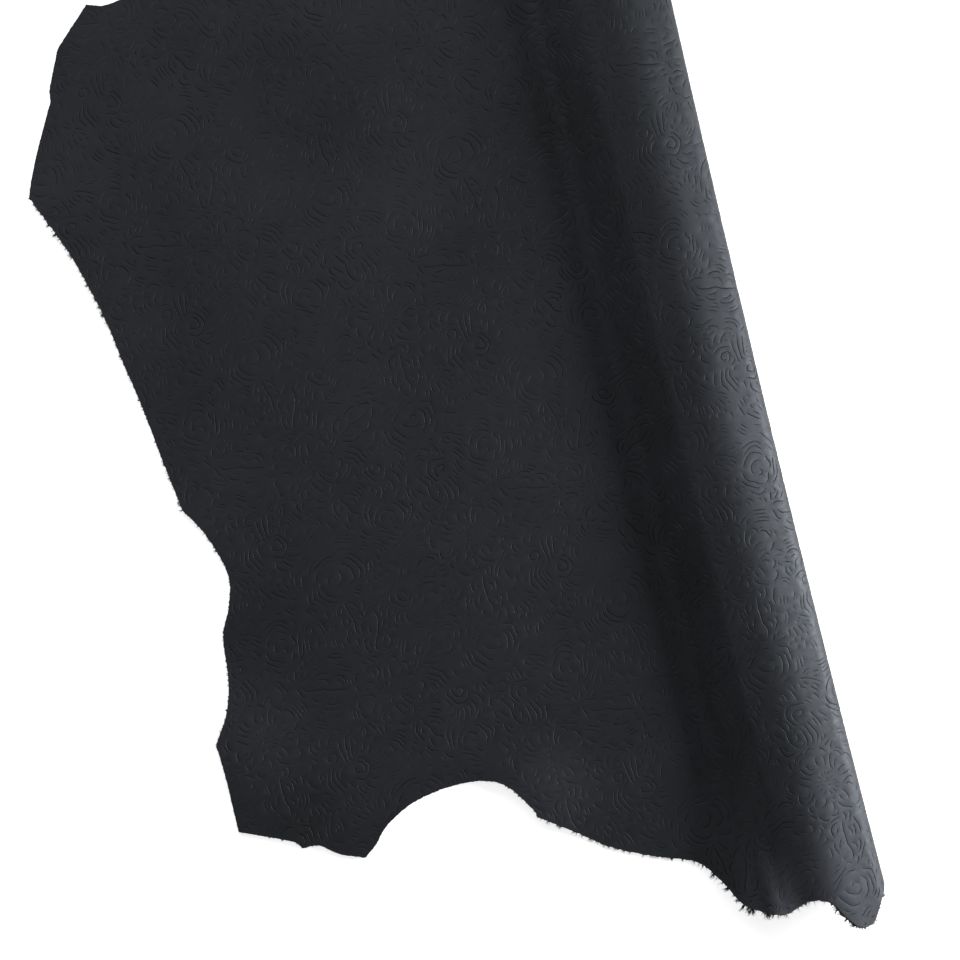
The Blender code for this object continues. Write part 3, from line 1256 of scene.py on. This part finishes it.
        ring = np.arange(len(between))
        grain_ring, flesh_ring = ring, ring + len(grain_points)
        between_ring = ring + len(grain_points) + len(flesh_points)
        rim_faces = np.concatenate([
            self.band(grain_ring, between_ring), self.band(between_ring, flesh_ring)])
        faces = [*grain_faces[:, ::-1].tolist(), *(flesh_faces + len(grain_points)).tolist(),
                 *rim_faces.tolist()]
        mesh = bpy.data.meshes.new("leather_sheet")
        mesh.from_pydata(points.tolist(), [], faces)
        if mesh.validate():
            log.warning("the sheet had faulty faces")
        slots = np.repeat([0, 1, 2], [len(grain_faces), len(flesh_faces), len(rim_faces)])
        mesh.polygons.foreach_set("material_index", slots)
        mesh.shade_smooth()
        self.crease(mesh, (grain_ring, flesh_ring))
        self.shade(mesh, grain, grain_faces[:, ::-1], upward)
        self.note_places(mesh, grain, flesh, between)
        return linked("leather_sheet", mesh)

    @staticmethod
    def band(upper: np.ndarray, lower: np.ndarray) -> np.ndarray:
        """Return faces that join a ring of points to one nearer the flesh side."""
        return np.column_stack([upper, np.roll(upper, -1), np.roll(lower, -1), lower])

    @staticmethod
    def crease(mesh: bpy.types.Mesh, rings: tuple[np.ndarray, ...]) -> None:
        """Keep the shading sharp along rings of neighbouring points.

        Args:
            mesh: the sheet's mesh.
            rings: the rings, each of consecutive points.
        """
        ends = np.empty(2 * len(mesh.edges), int)
        mesh.edges.foreach_get("vertices", ends)
        low, high = np.sort(ends.reshape(-1, 2), axis=1).T
        sharp = np.zeros(len(mesh.edges), bool)
        for ring in rings:
            inside = (low >= ring[0]) & (high <= ring[-1])
            sharp |= inside & ((high - low == 1) | (high - low == len(ring) - 1))
        note(mesh, "sharp_edge", "BOOLEAN", sharp, domain="EDGE")

    def shade(self, mesh: bpy.types.Mesh, grain: Net, faces: np.ndarray,
              upward: np.ndarray) -> None:
        """Give the grain side the normals of the smooth fold and of the grooves' walls.

        Args:
            mesh: the sheet's mesh, whose first faces are the grain side.
            grain: the grain side's net.
            faces: the grain side's faces.
            upward: which way the smooth grain side faces at the net's points.
        """
        toward = self.lie.carried(grain.places, grain.toward)
        steepness = grain.slope[faces].max(axis=1)[:, None, None]
        facing = unit(toward[faces].sum(axis=1))[:, None, :]
        walls = upward[faces] + facing * steepness
        ground = upward[faces] + toward[faces] * self.lip
        number = grain.groove[faces]
        in_groove = (number == number[:, :1]).all(axis=1) & (grain.sunk[faces] > 0).any(axis=1)
        corners = np.where(in_groove[:, None, None], walls, ground)
        normals = np.zeros((len(mesh.loops), 3))
        normals[:3 * len(faces)] = unit(corners.reshape(-1, 3))
        mesh.normals_split_custom_set(normals.tolist())

    def note_places(self, mesh: bpy.types.Mesh, grain: Net, flesh: Net,
                    between: np.ndarray) -> None:
        """Note on the mesh where each point was in the flat hide, and how far it was pressed.

        Args:
            mesh: the sheet's mesh.
            grain: the grain side's net.
            flesh: the flesh side's net.
            between: the flat places of the cut edge's middle.
        """
        flat = np.concatenate([grain.places, flesh.places, between])
        depth = np.repeat([0.0, self.lie.thickness, self.lie.thickness / 2],
                          [len(grain.places), len(flesh.places), len(between)])
        note(mesh, "hide_place", "FLOAT_VECTOR", np.column_stack([flat, depth]) / MM)
        # the pressed share also darkens the grain colour in the grooves, as painted shade
        pressed = np.zeros(len(flat))
        pressed[:len(grain.places)] = grain.sunk / self.plate.groove_depth
        note(mesh, "pressed", "FLOAT", pressed)


# ---------------------------------------------------------------- nodes


@dataclass
class Bench:
    """Lays out the nodes of one tree."""

    tree: bpy.types.NodeTree
    columns: int = 8
    column_width: int = 220
    row_height: int = 320

    def add(self, kind: str, inputs: dict | None = None, **settings: object) -> bpy.types.Node:
        """Add a node.

        Args:
            kind: the node's type.
            inputs: for each input, by name or number, its value or the socket that feeds it.
            **settings: the node's own settings.

        Returns:
            The node.
        """
        node = self.tree.nodes.new(kind)
        for name, value in settings.items():
            setattr(node, name, value)
        self.feed(node, inputs or {})
        return node

    def feed(self, node: bpy.types.Node, inputs: dict) -> None:
        """Set a node's inputs.

        Args:
            node: the node.
            inputs: for each input, by name or number, its value or the socket that feeds it.
        """
        for name, value in inputs.items():
            if isinstance(value, bpy.types.NodeSocket):
                self.tree.links.new(value, node.inputs[name])
            else:
                node.inputs[name].default_value = value

    def finish(self, end: bpy.types.Node, inputs: dict) -> None:
        """Feed the last node, and spread the nodes out in the order in which they were made.

        Args:
            end: the last node.
            inputs: its inputs, as feed takes them.
        """
        self.feed(end, inputs)
        for number, node in enumerate(self.tree.nodes):
            row, column = divmod(number, self.columns)
            node.location = (self.column_width * column, -self.row_height * row)

    def reckon(self, operation: str, *values: object) -> bpy.types.NodeSocket:
        """Return the result of an operation on values or sockets."""
        return self.add("ShaderNodeMath", dict(enumerate(values)), operation=operation).outputs[0]

    def mixed(self, share: object, colour: object, other: object) -> bpy.types.NodeSocket:
        """Return a colour with a share of another one in it."""
        node = self.add("ShaderNodeMix", {0: share, 6: colour, 7: other}, data_type="RGBA")
        return node.outputs[2]

    def bump(self, height: bpy.types.NodeSocket) -> bpy.types.NodeSocket:
        """Return the normal of a surface that stands up by a height in metres."""
        return self.add("ShaderNodeBump", {
            "Strength": 1.0, "Distance": 1.0, "Height": height}).outputs[0]


def new_group(name: str, kind: str, inputs: dict[str, str],
              outputs: dict[str, str]) -> tuple[Bench, bpy.types.Node, bpy.types.Node]:
    """Start a node group.

    Args:
        name: the group's name.
        kind: the type of its tree.
        inputs: the types of its inputs, by name.
        outputs: the types of its outputs, by name.

    Returns:
        Its bench, its input node and its output node.
    """
    tree = bpy.data.node_groups.new(name, kind)
    for way, sockets in (("INPUT", inputs), ("OUTPUT", outputs)):
        for socket, socket_type in sockets.items():
            tree.interface.new_socket(
                socket, in_out=way, socket_type="NodeSocket" + socket_type)
    bench = Bench(tree)
    return bench, bench.add("NodeGroupInput"), bench.add("NodeGroupOutput")


@cache
def mottle_group() -> bpy.types.NodeTree:
    """Build the uneven take-up of dye, as broad patches broken by finer ones.

    Returns:
        The shader group, from Place and Size to Mottle, from 0 to 1.
    """
    bench, start, end = new_group("dye_mottle", "ShaderNodeTree",
                                  {"Place": "Vector", "Size": "Float"}, {"Mottle": "Float"})
    broad = bench.add("ShaderNodeTexNoise", {
        "Vector": start.outputs["Place"], "Detail": 5.0, "Roughness": 0.55,
        "Scale": bench.reckon("DIVIDE", 1.0, start.outputs["Size"])})
    spread = bench.add("ShaderNodeMapRange", {
        "Value": broad.outputs[0], "From Min": 0.3, "From Max": 0.7})
    bench.finish(end, {"Mottle": spread.outputs[0]})
    return bench.tree


@cache
def nap_group() -> bpy.types.NodeTree:
    """Build the nap of loose fibres, as fine noise drawn out along the hide.

    Returns:
        The shader group, from Place, Fineness and Stretch to Nap, from 0 to 1.
    """
    bench, start, end = new_group("fibre_nap", "ShaderNodeTree", {
        "Place": "Vector", "Fineness": "Float", "Stretch": "Vector"}, {"Nap": "Float"})
    drawn = bench.add("ShaderNodeVectorMath", {
        0: start.outputs["Place"], 1: start.outputs["Stretch"]}, operation="MULTIPLY")
    fibres = bench.add("ShaderNodeTexNoise", {
        "Vector": drawn.outputs[0], "Scale": start.outputs["Fineness"], "Detail": 6.0,
        "Roughness": 0.7, "Distortion": 0.6})
    bench.finish(end, {"Nap": fibres.outputs[0]})
    return bench.tree


def new_material(name: str) -> tuple[bpy.types.Material, Bench, bpy.types.Node]:
    """Start a material.

    Args:
        name: the material's name.

    Returns:
        The material, its bench and its Principled BSDF.
    """
    material = bpy.data.materials.new(name)
    material.use_nodes = True
    return material, Bench(material.node_tree), material.node_tree.nodes["Principled BSDF"]


def dyed(bench: Bench, patch: float) -> tuple[bpy.types.NodeSocket, bpy.types.NodeSocket]:
    """Start a material of the hide.

    Args:
        bench: the material's bench.
        patch: the size of its patches of dye, in millimetres.

    Returns:
        The sockets of the place in the flat hide, in millimetres, and of the dye's share.
    """
    place = bench.add("ShaderNodeAttribute", attribute_name="hide_place").outputs["Vector"]
    mottle = bench.add("ShaderNodeGroup", node_tree=mottle_group())
    bench.feed(mottle, {"Place": place, "Size": patch})
    return place, mottle.outputs["Mottle"]


@dataclass(frozen=True)
class GrainFinish:
    """The pressed grain side: dyed through, with a soft sheen that grooves and pores break. The
    grooves' darker colour is partly the pressed leather's own tone and partly painted shade.
    """

    dark: tuple = (0.0070, 0.0081, 0.0089, 1.0)
    light: tuple = (0.0140, 0.0151, 0.0183, 1.0)
    # painted shade: the colour the grooves are darkened to, partly the pressed leather's own tone
    groove: tuple = (0.0060, 0.0066, 0.0078, 1.0)
    dye_patch: float = 95.0             # sizes and depths are in millimetres
    pore_size: float = 0.55
    pore_depth: float = 0.035
    crease_size: float = 3.2
    crease_depth: float = 0.05
    smoothest: float = 0.54
    roughest: float = 0.66
    specular: float = 0.29
    specular_tint: tuple = (0.92, 1.0, 1.12, 1.0)

    def material(self) -> bpy.types.Material:
        """Build the finish's material.

        Returns:
            The material.
        """
        material, bench, shader = new_material("black_grain_leather")
        place, mottle = dyed(bench, self.dye_patch)
        pressed = bench.add("ShaderNodeAttribute", attribute_name="pressed").outputs["Fac"]
        # the grooves are darkened by how deep they are pressed: painted shade in the recesses,
        # partly the pressed leather's own tone
        colour = bench.mixed(pressed, bench.mixed(mottle, self.dark, self.light), self.groove)
        creases = bench.add("ShaderNodeTexNoise", {
            "Vector": place, "Scale": 1 / self.crease_size, "Detail": 4.0, "Roughness": 0.6,
            "Distortion": 0.4})
        polish = bench.add("ShaderNodeMapRange", {
            "Value": creases.outputs[0], "From Min": 0.3, "From Max": 0.7,
            "To Min": self.smoothest, "To Max": self.roughest})
        pores = bench.add("ShaderNodeTexVoronoi", {
            "Vector": place, "Scale": 1 / self.pore_size, "Randomness": 1.0})
        pit = bench.add("ShaderNodeMapRange", {
            "Value": pores.outputs["Distance"], "From Min": 0.0, "From Max": 0.45,
            "To Min": -self.pore_depth * MM, "To Max": 0.0}, interpolation_type="SMOOTHSTEP")
        relief = bench.reckon(
            "MULTIPLY_ADD", creases.outputs[0], self.crease_depth * MM, pit.outputs[0])
        bench.finish(shader, {
            "Base Color": colour, "Roughness": polish.outputs[0], "Normal": bench.bump(relief),
            "Specular IOR Level": self.specular, "Specular Tint": self.specular_tint})
        return material


@dataclass(frozen=True)
class FibreFinish:
    """Loose dyed fibre: the flesh side, the cut edge or the strands along it."""

    name: str
    dark: tuple
    light: tuple
    patch: float                        # of the dye, in millimetres
    fineness: float                     # of the nap, in waves to a millimetre
    stretch: tuple                      # of that fineness past, along and down the hide
    depth: float                        # of the nap, in millimetres
    sheen: float = 0.12
    sheen_roughness: float = 0.6
    roughness: float = 0.92
    specular: float = 0.15

    def material(self) -> bpy.types.Material:
        """Build the finish's material.

        Returns:
            The material.
        """
        material, bench, shader = new_material(self.name)
        place, mottle = dyed(bench, self.patch)
        nap = bench.add("ShaderNodeGroup", node_tree=nap_group())
        bench.feed(nap, {"Place": place, "Fineness": self.fineness, "Stretch": self.stretch})
        share = bench.reckon("MULTIPLY", mottle, nap.outputs["Nap"])
        height = bench.reckon("MULTIPLY", nap.outputs["Nap"], self.depth * MM)
        bench.finish(shader, {
            "Base Color": bench.mixed(share, self.dark, self.light),
            "Normal": bench.bump(height),
            "Roughness": self.roughness, "Specular IOR Level": self.specular,
            "Sheen Weight": self.sheen, "Sheen Roughness": self.sheen_roughness})
        return material


FLESH = FibreFinish(
    "flesh_side_suede", dark=(0.012, 0.013, 0.015, 1), light=(0.040, 0.042, 0.046, 1),
    patch=34.0, fineness=2.2, stretch=(1.0, 0.45, 1.0), depth=0.10)
CUT_EDGE = FibreFinish(
    "cut_edge_fibre", dark=(0.010, 0.011, 0.012, 1), light=(0.024, 0.025, 0.027, 1),
    patch=9.0, fineness=3.0, stretch=(1.0, 1.0, 0.35), depth=0.08)
STRANDS = FibreFinish(
    "loose_fibre", dark=(0.012, 0.012, 0.013, 1), light=(0.022, 0.022, 0.024, 1),
    patch=2.0, fineness=4.0, stretch=(1.0, 1.0, 1.0), depth=0.01, sheen=0.1)


# ---------------------------------------------------------------- fibres along the cut


@dataclass
class EdgeFibres:
    """The flesh fibres that stand out of the cut edge, longest round the lobes."""

    lie: Lie
    outline: TrimmedOutline
    pitch: float = 0.17 * MM            # where the cut is most frayed
    evenness: float = 0.7               # the lower, the more the fibres stand in tufts
    thinnest: float = 0.25              # share of that density along a clean cut
    tuft_pull: float = 0.4              # power by which dense tufts are longer
    reaches: tuple = (1.5, 0.42)        # shape and scale of the lengths, as shares of the fray
    reach_limits: tuple = (0.2, 2.2)    # shortest and longest, as the same shares
    levels: tuple = (-0.95, 0.35)       # of the roots about the middle, in half thicknesses
    root_depth: float = 0.15 * MM       # how far a fibre starts inside the edge
    side_lean: tuple = (0.0, 0.45)      # usual lean and its spread, as shares of the way out
    upward_lean: tuple = (-0.12, 0.22)
    tip_height: float = 0.15 * MM       # the least height at which a fibre aims
    unit_radius: float = 0.065          # of a fibre of length one
    sides: int = 3
    steps: int = 4
    point_width: float = 0.12           # of a fibre's tip, as a share of its foot's
    bends: tuple[float, ...] = (0.08, 0.22, 0.38, 0.60)
    bend_height: float = 0.55           # where a fibre bends, as a share of its length
    tip_swing: tuple = (-0.4, 0.5)      # how far its tip lies back and aside, in bends
    lowest: float = 0.04 * MM           # fibres lie on the ground here

    def spread(self, draw: np.random.Generator) -> tuple[np.ndarray, np.ndarray, np.ndarray]:
        """Spread the roots along the cut, in tufts.

        Args:
            draw: the random draws.

        Returns:
            The roots' flat places, the outline's points before them, and how dense they are
            there.
        """
        edge, fray = self.outline.flesh_edge(), self.outline.fray
        spans = np.diff(run_of(np.concatenate([edge, edge[:1]])))
        tufts = draw.gamma(self.evenness, 1 / self.evenness, len(edge))
        density = np.clip(fray / MM, self.thinnest, 1.0) * tufts / self.pitch
        due = from_zero(spans * density)
        at = np.sort(draw.uniform(0, due[-1], int(due[-1])))
        index = np.searchsorted(due, at, side="right") - 1
        after = (index + 1) % len(edge)
        part = ((at - due[index]) / (due[index + 1] - due[index]))[:, None]
        return edge[index] * (1 - part) + edge[after] * part, index, tufts[index]

    def roots(self) -> bpy.types.Object:
        """Make the points that the fibres grow from, with their direction and length.

        Returns:
            The object that holds the points.
        """
        draw = np.random.default_rng(SEED + 4)
        flat, index, tufts = self.spread(draw)
        count, outward = len(flat), self.outline.outward[index]
        reach = draw.gamma(*self.reaches, count) * tufts ** self.tuft_pull
        reach = np.clip(reach, *self.reach_limits) * self.outline.fray[index]
        out = self.lie.carried(flat, outward)
        side = self.lie.carried(flat, left_of(outward))
        upward = self.lie.normals(flat)
        level = draw.uniform(*self.levels, count) * self.lie.thickness / 2
        root = self.lie.middle(flat) + upward * level[:, None] - out * self.root_depth
        lean = out + side * draw.normal(*self.side_lean, count)[:, None]
        lean = unit(lean + upward * draw.normal(*self.upward_lean, count)[:, None])
        lean[:, 2] = np.maximum(lean[:, 2], (self.tip_height - root[:, 2]) / reach)
        mesh = bpy.data.meshes.new("fibre_roots")
        mesh.from_pydata(root.tolist(), [], [])
        note(mesh, "lean", "FLOAT_VECTOR", unit(lean))
        note(mesh, "reach", "FLOAT", reach)
        note(mesh, "hide_place", "FLOAT_VECTOR", np.column_stack([flat, level]) / MM)
        return linked("edge_fibres", mesh)

    def shapes(self, bench: Bench, start: bpy.types.Node) -> bpy.types.NodeSocket:
        """Draw pointed tubes of length one, each more bent than the one before.

        Args:
            bench: the bench of the growth tree.
            start: the tree's input node.

        Returns:
            The socket of the tubes, as instances.
        """
        circle = bench.add("GeometryNodeCurvePrimitiveCircle", {
            "Resolution": start.outputs["Sides"], "Radius": start.outputs["Fibre Radius"]})
        factor = bench.add("GeometryNodeSplineParameter")
        point = bench.add("ShaderNodeMapRange", {
            "Value": factor.outputs["Factor"], "To Min": 1.0, "To Max": self.point_width})
        shapes = bench.add("GeometryNodeJoinGeometry")
        back, aside = self.tip_swing
        for amount in self.bends:
            spine = bench.add("GeometryNodeCurveQuadraticBezier", {
                "Resolution": start.outputs["Steps"], "Start": (0, 0, 0),
                "Middle": (amount, 0, self.bend_height),
                "End": (amount * back, amount * aside, 1.0)})
            tube = bench.add("GeometryNodeCurveToMesh", {
                "Curve": spine.outputs[0], "Profile Curve": circle.outputs[0],
                "Scale": point.outputs[0], "Fill Caps": True})
            shape = bench.add("GeometryNodeGeometryToInstance", {"Geometry": tube.outputs[0]})
            bench.feed(shapes, {0: shape.outputs[0]})
        return shapes.outputs[0]

    @staticmethod
    def aim(bench: Bench, start: bpy.types.Node) -> bpy.types.NodeSocket:
        """Aim each fibre along its lean, and spin it about itself.

        Args:
            bench: the bench of the growth tree.
            start: the tree's input node.

        Returns:
            The socket of the rotation.
        """
        lean = bench.add("GeometryNodeInputNamedAttribute", {"Name": "lean"},
                         data_type="FLOAT_VECTOR")
        spin = bench.add("FunctionNodeRandomValue", {
            3: 2 * math.pi, "Seed": start.outputs["Seed"]})
        aimed = bench.add("FunctionNodeAlignRotationToVector", {
            "Vector": lean.outputs[0]}, axis="Z")
        roll = bench.add("FunctionNodeAxisAngleToRotation", {
            "Axis": (0, 0, 1), "Angle": spin.outputs[1]})
        return bench.add("FunctionNodeRotateRotation", {
            "Rotation": aimed.outputs[0], "Rotate By": roll.outputs[0]},
            rotation_space="LOCAL").outputs[0]

    @staticmethod
    def raised(bench: Bench, lowest: bpy.types.NodeSocket) -> bpy.types.NodeSocket:
        """Work out how far to lift what would go below a height.

        Args:
            bench: the bench of the growth tree.
            lowest: the socket of the height.

        Returns:
            The socket of the offset.
        """
        place = bench.add("ShaderNodeSeparateXYZ", {
            0: bench.add("GeometryNodeInputPosition").outputs[0]})
        lift = bench.reckon("MAXIMUM", bench.reckon("SUBTRACT", lowest, place.outputs["Z"]), 0.0)
        return bench.add("ShaderNodeCombineXYZ", {"Z": lift}).outputs[0]

    def tree(self) -> bpy.types.NodeTree:
        """Build the node tree that grows a bent, pointed fibre from each root.

        Returns:
            The tree.
        """
        bench, start, end = new_group("edge_fibre_growth", "GeometryNodeTree", {
            "Geometry": "Geometry", "Fibre Radius": "Float", "Sides": "Int", "Steps": "Int",
            "Seed": "Int", "Lowest": "Float", "Finish": "Material"}, {"Geometry": "Geometry"})
        choice = bench.add("FunctionNodeRandomValue", {
            4: 0, 5: len(self.bends) - 1, "Seed": start.outputs["Seed"]}, data_type="INT")
        reach = bench.add("GeometryNodeInputNamedAttribute", {"Name": "reach"},
                          data_type="FLOAT")
        grown = bench.add("GeometryNodeInstanceOnPoints", {
            "Points": start.outputs["Geometry"], "Instance": self.shapes(bench, start),
            "Pick Instance": True, "Instance Index": choice.outputs[2],
            "Rotation": self.aim(bench, start), "Scale": reach.outputs[0]})
        real = bench.add("GeometryNodeRealizeInstances", {"Geometry": grown.outputs[0]})
        laid = bench.add("GeometryNodeSetPosition", {
            "Geometry": real.outputs[0], "Offset": self.raised(bench, start.outputs["Lowest"])})
        dressed = bench.add("GeometryNodeSetMaterial", {
            "Geometry": laid.outputs[0], "Material": start.outputs["Finish"]})
        bench.finish(end, {"Geometry": dressed.outputs[0]})
        return bench.tree

    def build(self, finish: bpy.types.Material) -> bpy.types.Object:
        """Grow the fibres.

        Args:
            finish: their material.

        Returns:
            The fibres as one plain mesh.
        """
        roots = self.roots()
        tree = self.tree()
        growth = roots.modifiers.new("growth", "NODES")
        growth.node_group = tree
        values = {"Fibre Radius": self.unit_radius, "Sides": self.sides, "Steps": self.steps,
                  "Seed": SEED, "Lowest": self.lowest, "Finish": finish}
        for item in tree.interface.items_tree:
            if item.in_out == "INPUT" and item.name in values:
                growth[item.identifier] = values[item.name]
        bpy.context.view_layer.update()
        evaluated = roots.evaluated_get(bpy.context.evaluated_depsgraph_get())
        mesh = bpy.data.meshes.new_from_object(evaluated)
        mesh.name = "edge_fibres"
        roots.modifiers.clear()
        old = roots.data
        roots.data = mesh
        bpy.data.meshes.remove(old)
        mesh.shade_smooth()
        return roots


# ---------------------------------------------------------------- the whole belly


@dataclass
class LeatherBelly:
    """The leather belly: the sheet and the fibres along its cut edge."""

    length: float = 0.673               # in the flat, from the cut end to the last lobe
    flat_area: float = 0.278            # in square metres

    def __post_init__(self) -> None:
        """Take the hide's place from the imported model."""
        section = FoldSection()
        _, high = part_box(NODE)
        chart_along = [row[1] * MM for row in EDGE_CHART]
        self.outline = TrimmedOutline(section)
        self.lie = Lie(section, nose_x=high.x - Lie.thickness / 2,
                       end_y=high.y + min(chart_along), length=max(chart_along))

    @property
    def width_unrolled(self) -> float:
        """The width of the outline in the flat, with the flap."""
        return float(np.ptp(self.outline.line[:, 0]))

    def build(self) -> None:
        plate = EmbossingPlate(self.outline)
        sheet = LeatherSheet(self.lie, self.outline, plate).build()
        for finish in (GrainFinish(), FLESH, CUT_EDGE):
            sheet.data.materials.append(finish.material())
        fibres = EdgeFibres(self.lie, self.outline).build(STRANDS.material())
        for piece in (sheet, fibres):
            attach(piece, "root")
            triangles = sum(len(face.vertices) - 2 for face in piece.data.polygons)
            log.info("%s: %d triangles", piece.name, triangles)
        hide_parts(NODE)
        self.width_unrolled


# ---------------------------------------------------------------- the studio


class Lamp(NamedTuple):
    """A soft light panel, and the point that it faces."""

    name: str
    place: tuple[float, float, float]
    faces: tuple[float, float, float]
    width: float
    height: float
    power: float                        # in watts


@dataclass(frozen=True)
class Studio:
    """A plain white floor, soft lights and the camera straight above."""

    view_x: float = 0.0223
    view_y: float = -0.0098
    view_turn: float = -13.5            # the camera's turn about the vertical
    field: float = 0.600                # side of the square that the camera sees
    camera_height: float = 6.0
    sensor: float = 36.0
    view_depth: float = 50.0
    floor_size: float = 12.0
    floor_gap: float = 0.2 * MM
    floor_colour: tuple = (0.93, 0.93, 0.93, 1.0)
    floor_glow: float = 0.75            # the floor is a light table
    floor_roughness: float = 0.8
    floor_specular: float = 0.1
    sky: float = 0.27
    lamps: tuple[Lamp, ...] = (
        Lamp("side_panel", (0.84, -0.16, 0.215), (0.12, -0.10, 0.0), 0.36, 0.36, 16.5),
        Lamp("end_panel", (-0.30, 1.05, 0.62), (-0.05, 0.05, 0.0), 0.8, 0.5, 6.6),
    )

    def build(self) -> None:
        """Set up the floor, the lights and the camera."""
        self.floor()
        for lamp in self.lamps:
            self.light(lamp)
        world = bpy.data.worlds.new("studio_room")
        world.use_nodes = True
        background = world.node_tree.nodes["Background"]
        background.inputs["Color"].default_value = (1.0, 1.0, 1.0, 1.0)
        background.inputs["Strength"].default_value = self.sky
        bpy.context.scene.world = world
        bpy.context.scene.view_settings.view_transform = "Standard"
        self.camera()

    def floor(self) -> None:
        """Make the floor and its material."""
        half = self.floor_size / 2
        mesh = bpy.data.meshes.new("studio_floor")
        corners = [(-half, -half), (half, -half), (half, half), (-half, half)]
        mesh.from_pydata([(x, y, -self.floor_gap) for x, y in corners], [], [(0, 1, 2, 3)])
        material, bench, shader = new_material("white_board")
        bench.finish(shader, {
            "Base Color": self.floor_colour, "Roughness": self.floor_roughness,
            "Specular IOR Level": self.floor_specular, "Emission Color": self.floor_colour,
            "Emission Strength": self.floor_glow})
        mesh.materials.append(material)
        linked("studio_floor", mesh)

    @staticmethod
    def light(lamp: Lamp) -> None:
        """Hang a light panel.

        Args:
            lamp: the panel.
        """
        panel = bpy.data.lights.new(lamp.name, "AREA")
        panel.shape = "RECTANGLE"
        panel.size, panel.size_y = lamp.width, lamp.height
        panel.energy = lamp.power
        holder = linked(lamp.name, panel)
        holder.location = lamp.place
        towards = Vector(lamp.faces) - Vector(lamp.place)
        holder.rotation_euler = towards.to_track_quat("-Z", "Y").to_euler()

    def camera(self) -> None:
        """Hang the camera straight above the hide, and look through it."""
        view = bpy.data.cameras.new("camera")
        view.sensor_width = self.sensor
        view.lens = self.sensor * self.camera_height / self.field
        view.clip_end = self.view_depth
        holder = linked("camera", view)
        holder.location = (self.view_x, self.view_y, self.camera_height)
        holder.rotation_euler = (0.0, 0.0, math.radians(self.view_turn))
        bpy.context.scene.camera = holder


def main() -> None:
    """Build the studio and the belly, and note the sizes of both models."""
    logging.basicConfig(level=logging.INFO, format="%(name)s: %(message)s")
    Studio().build()
    LeatherBelly().build()


if __name__ == "__main__":
    main()
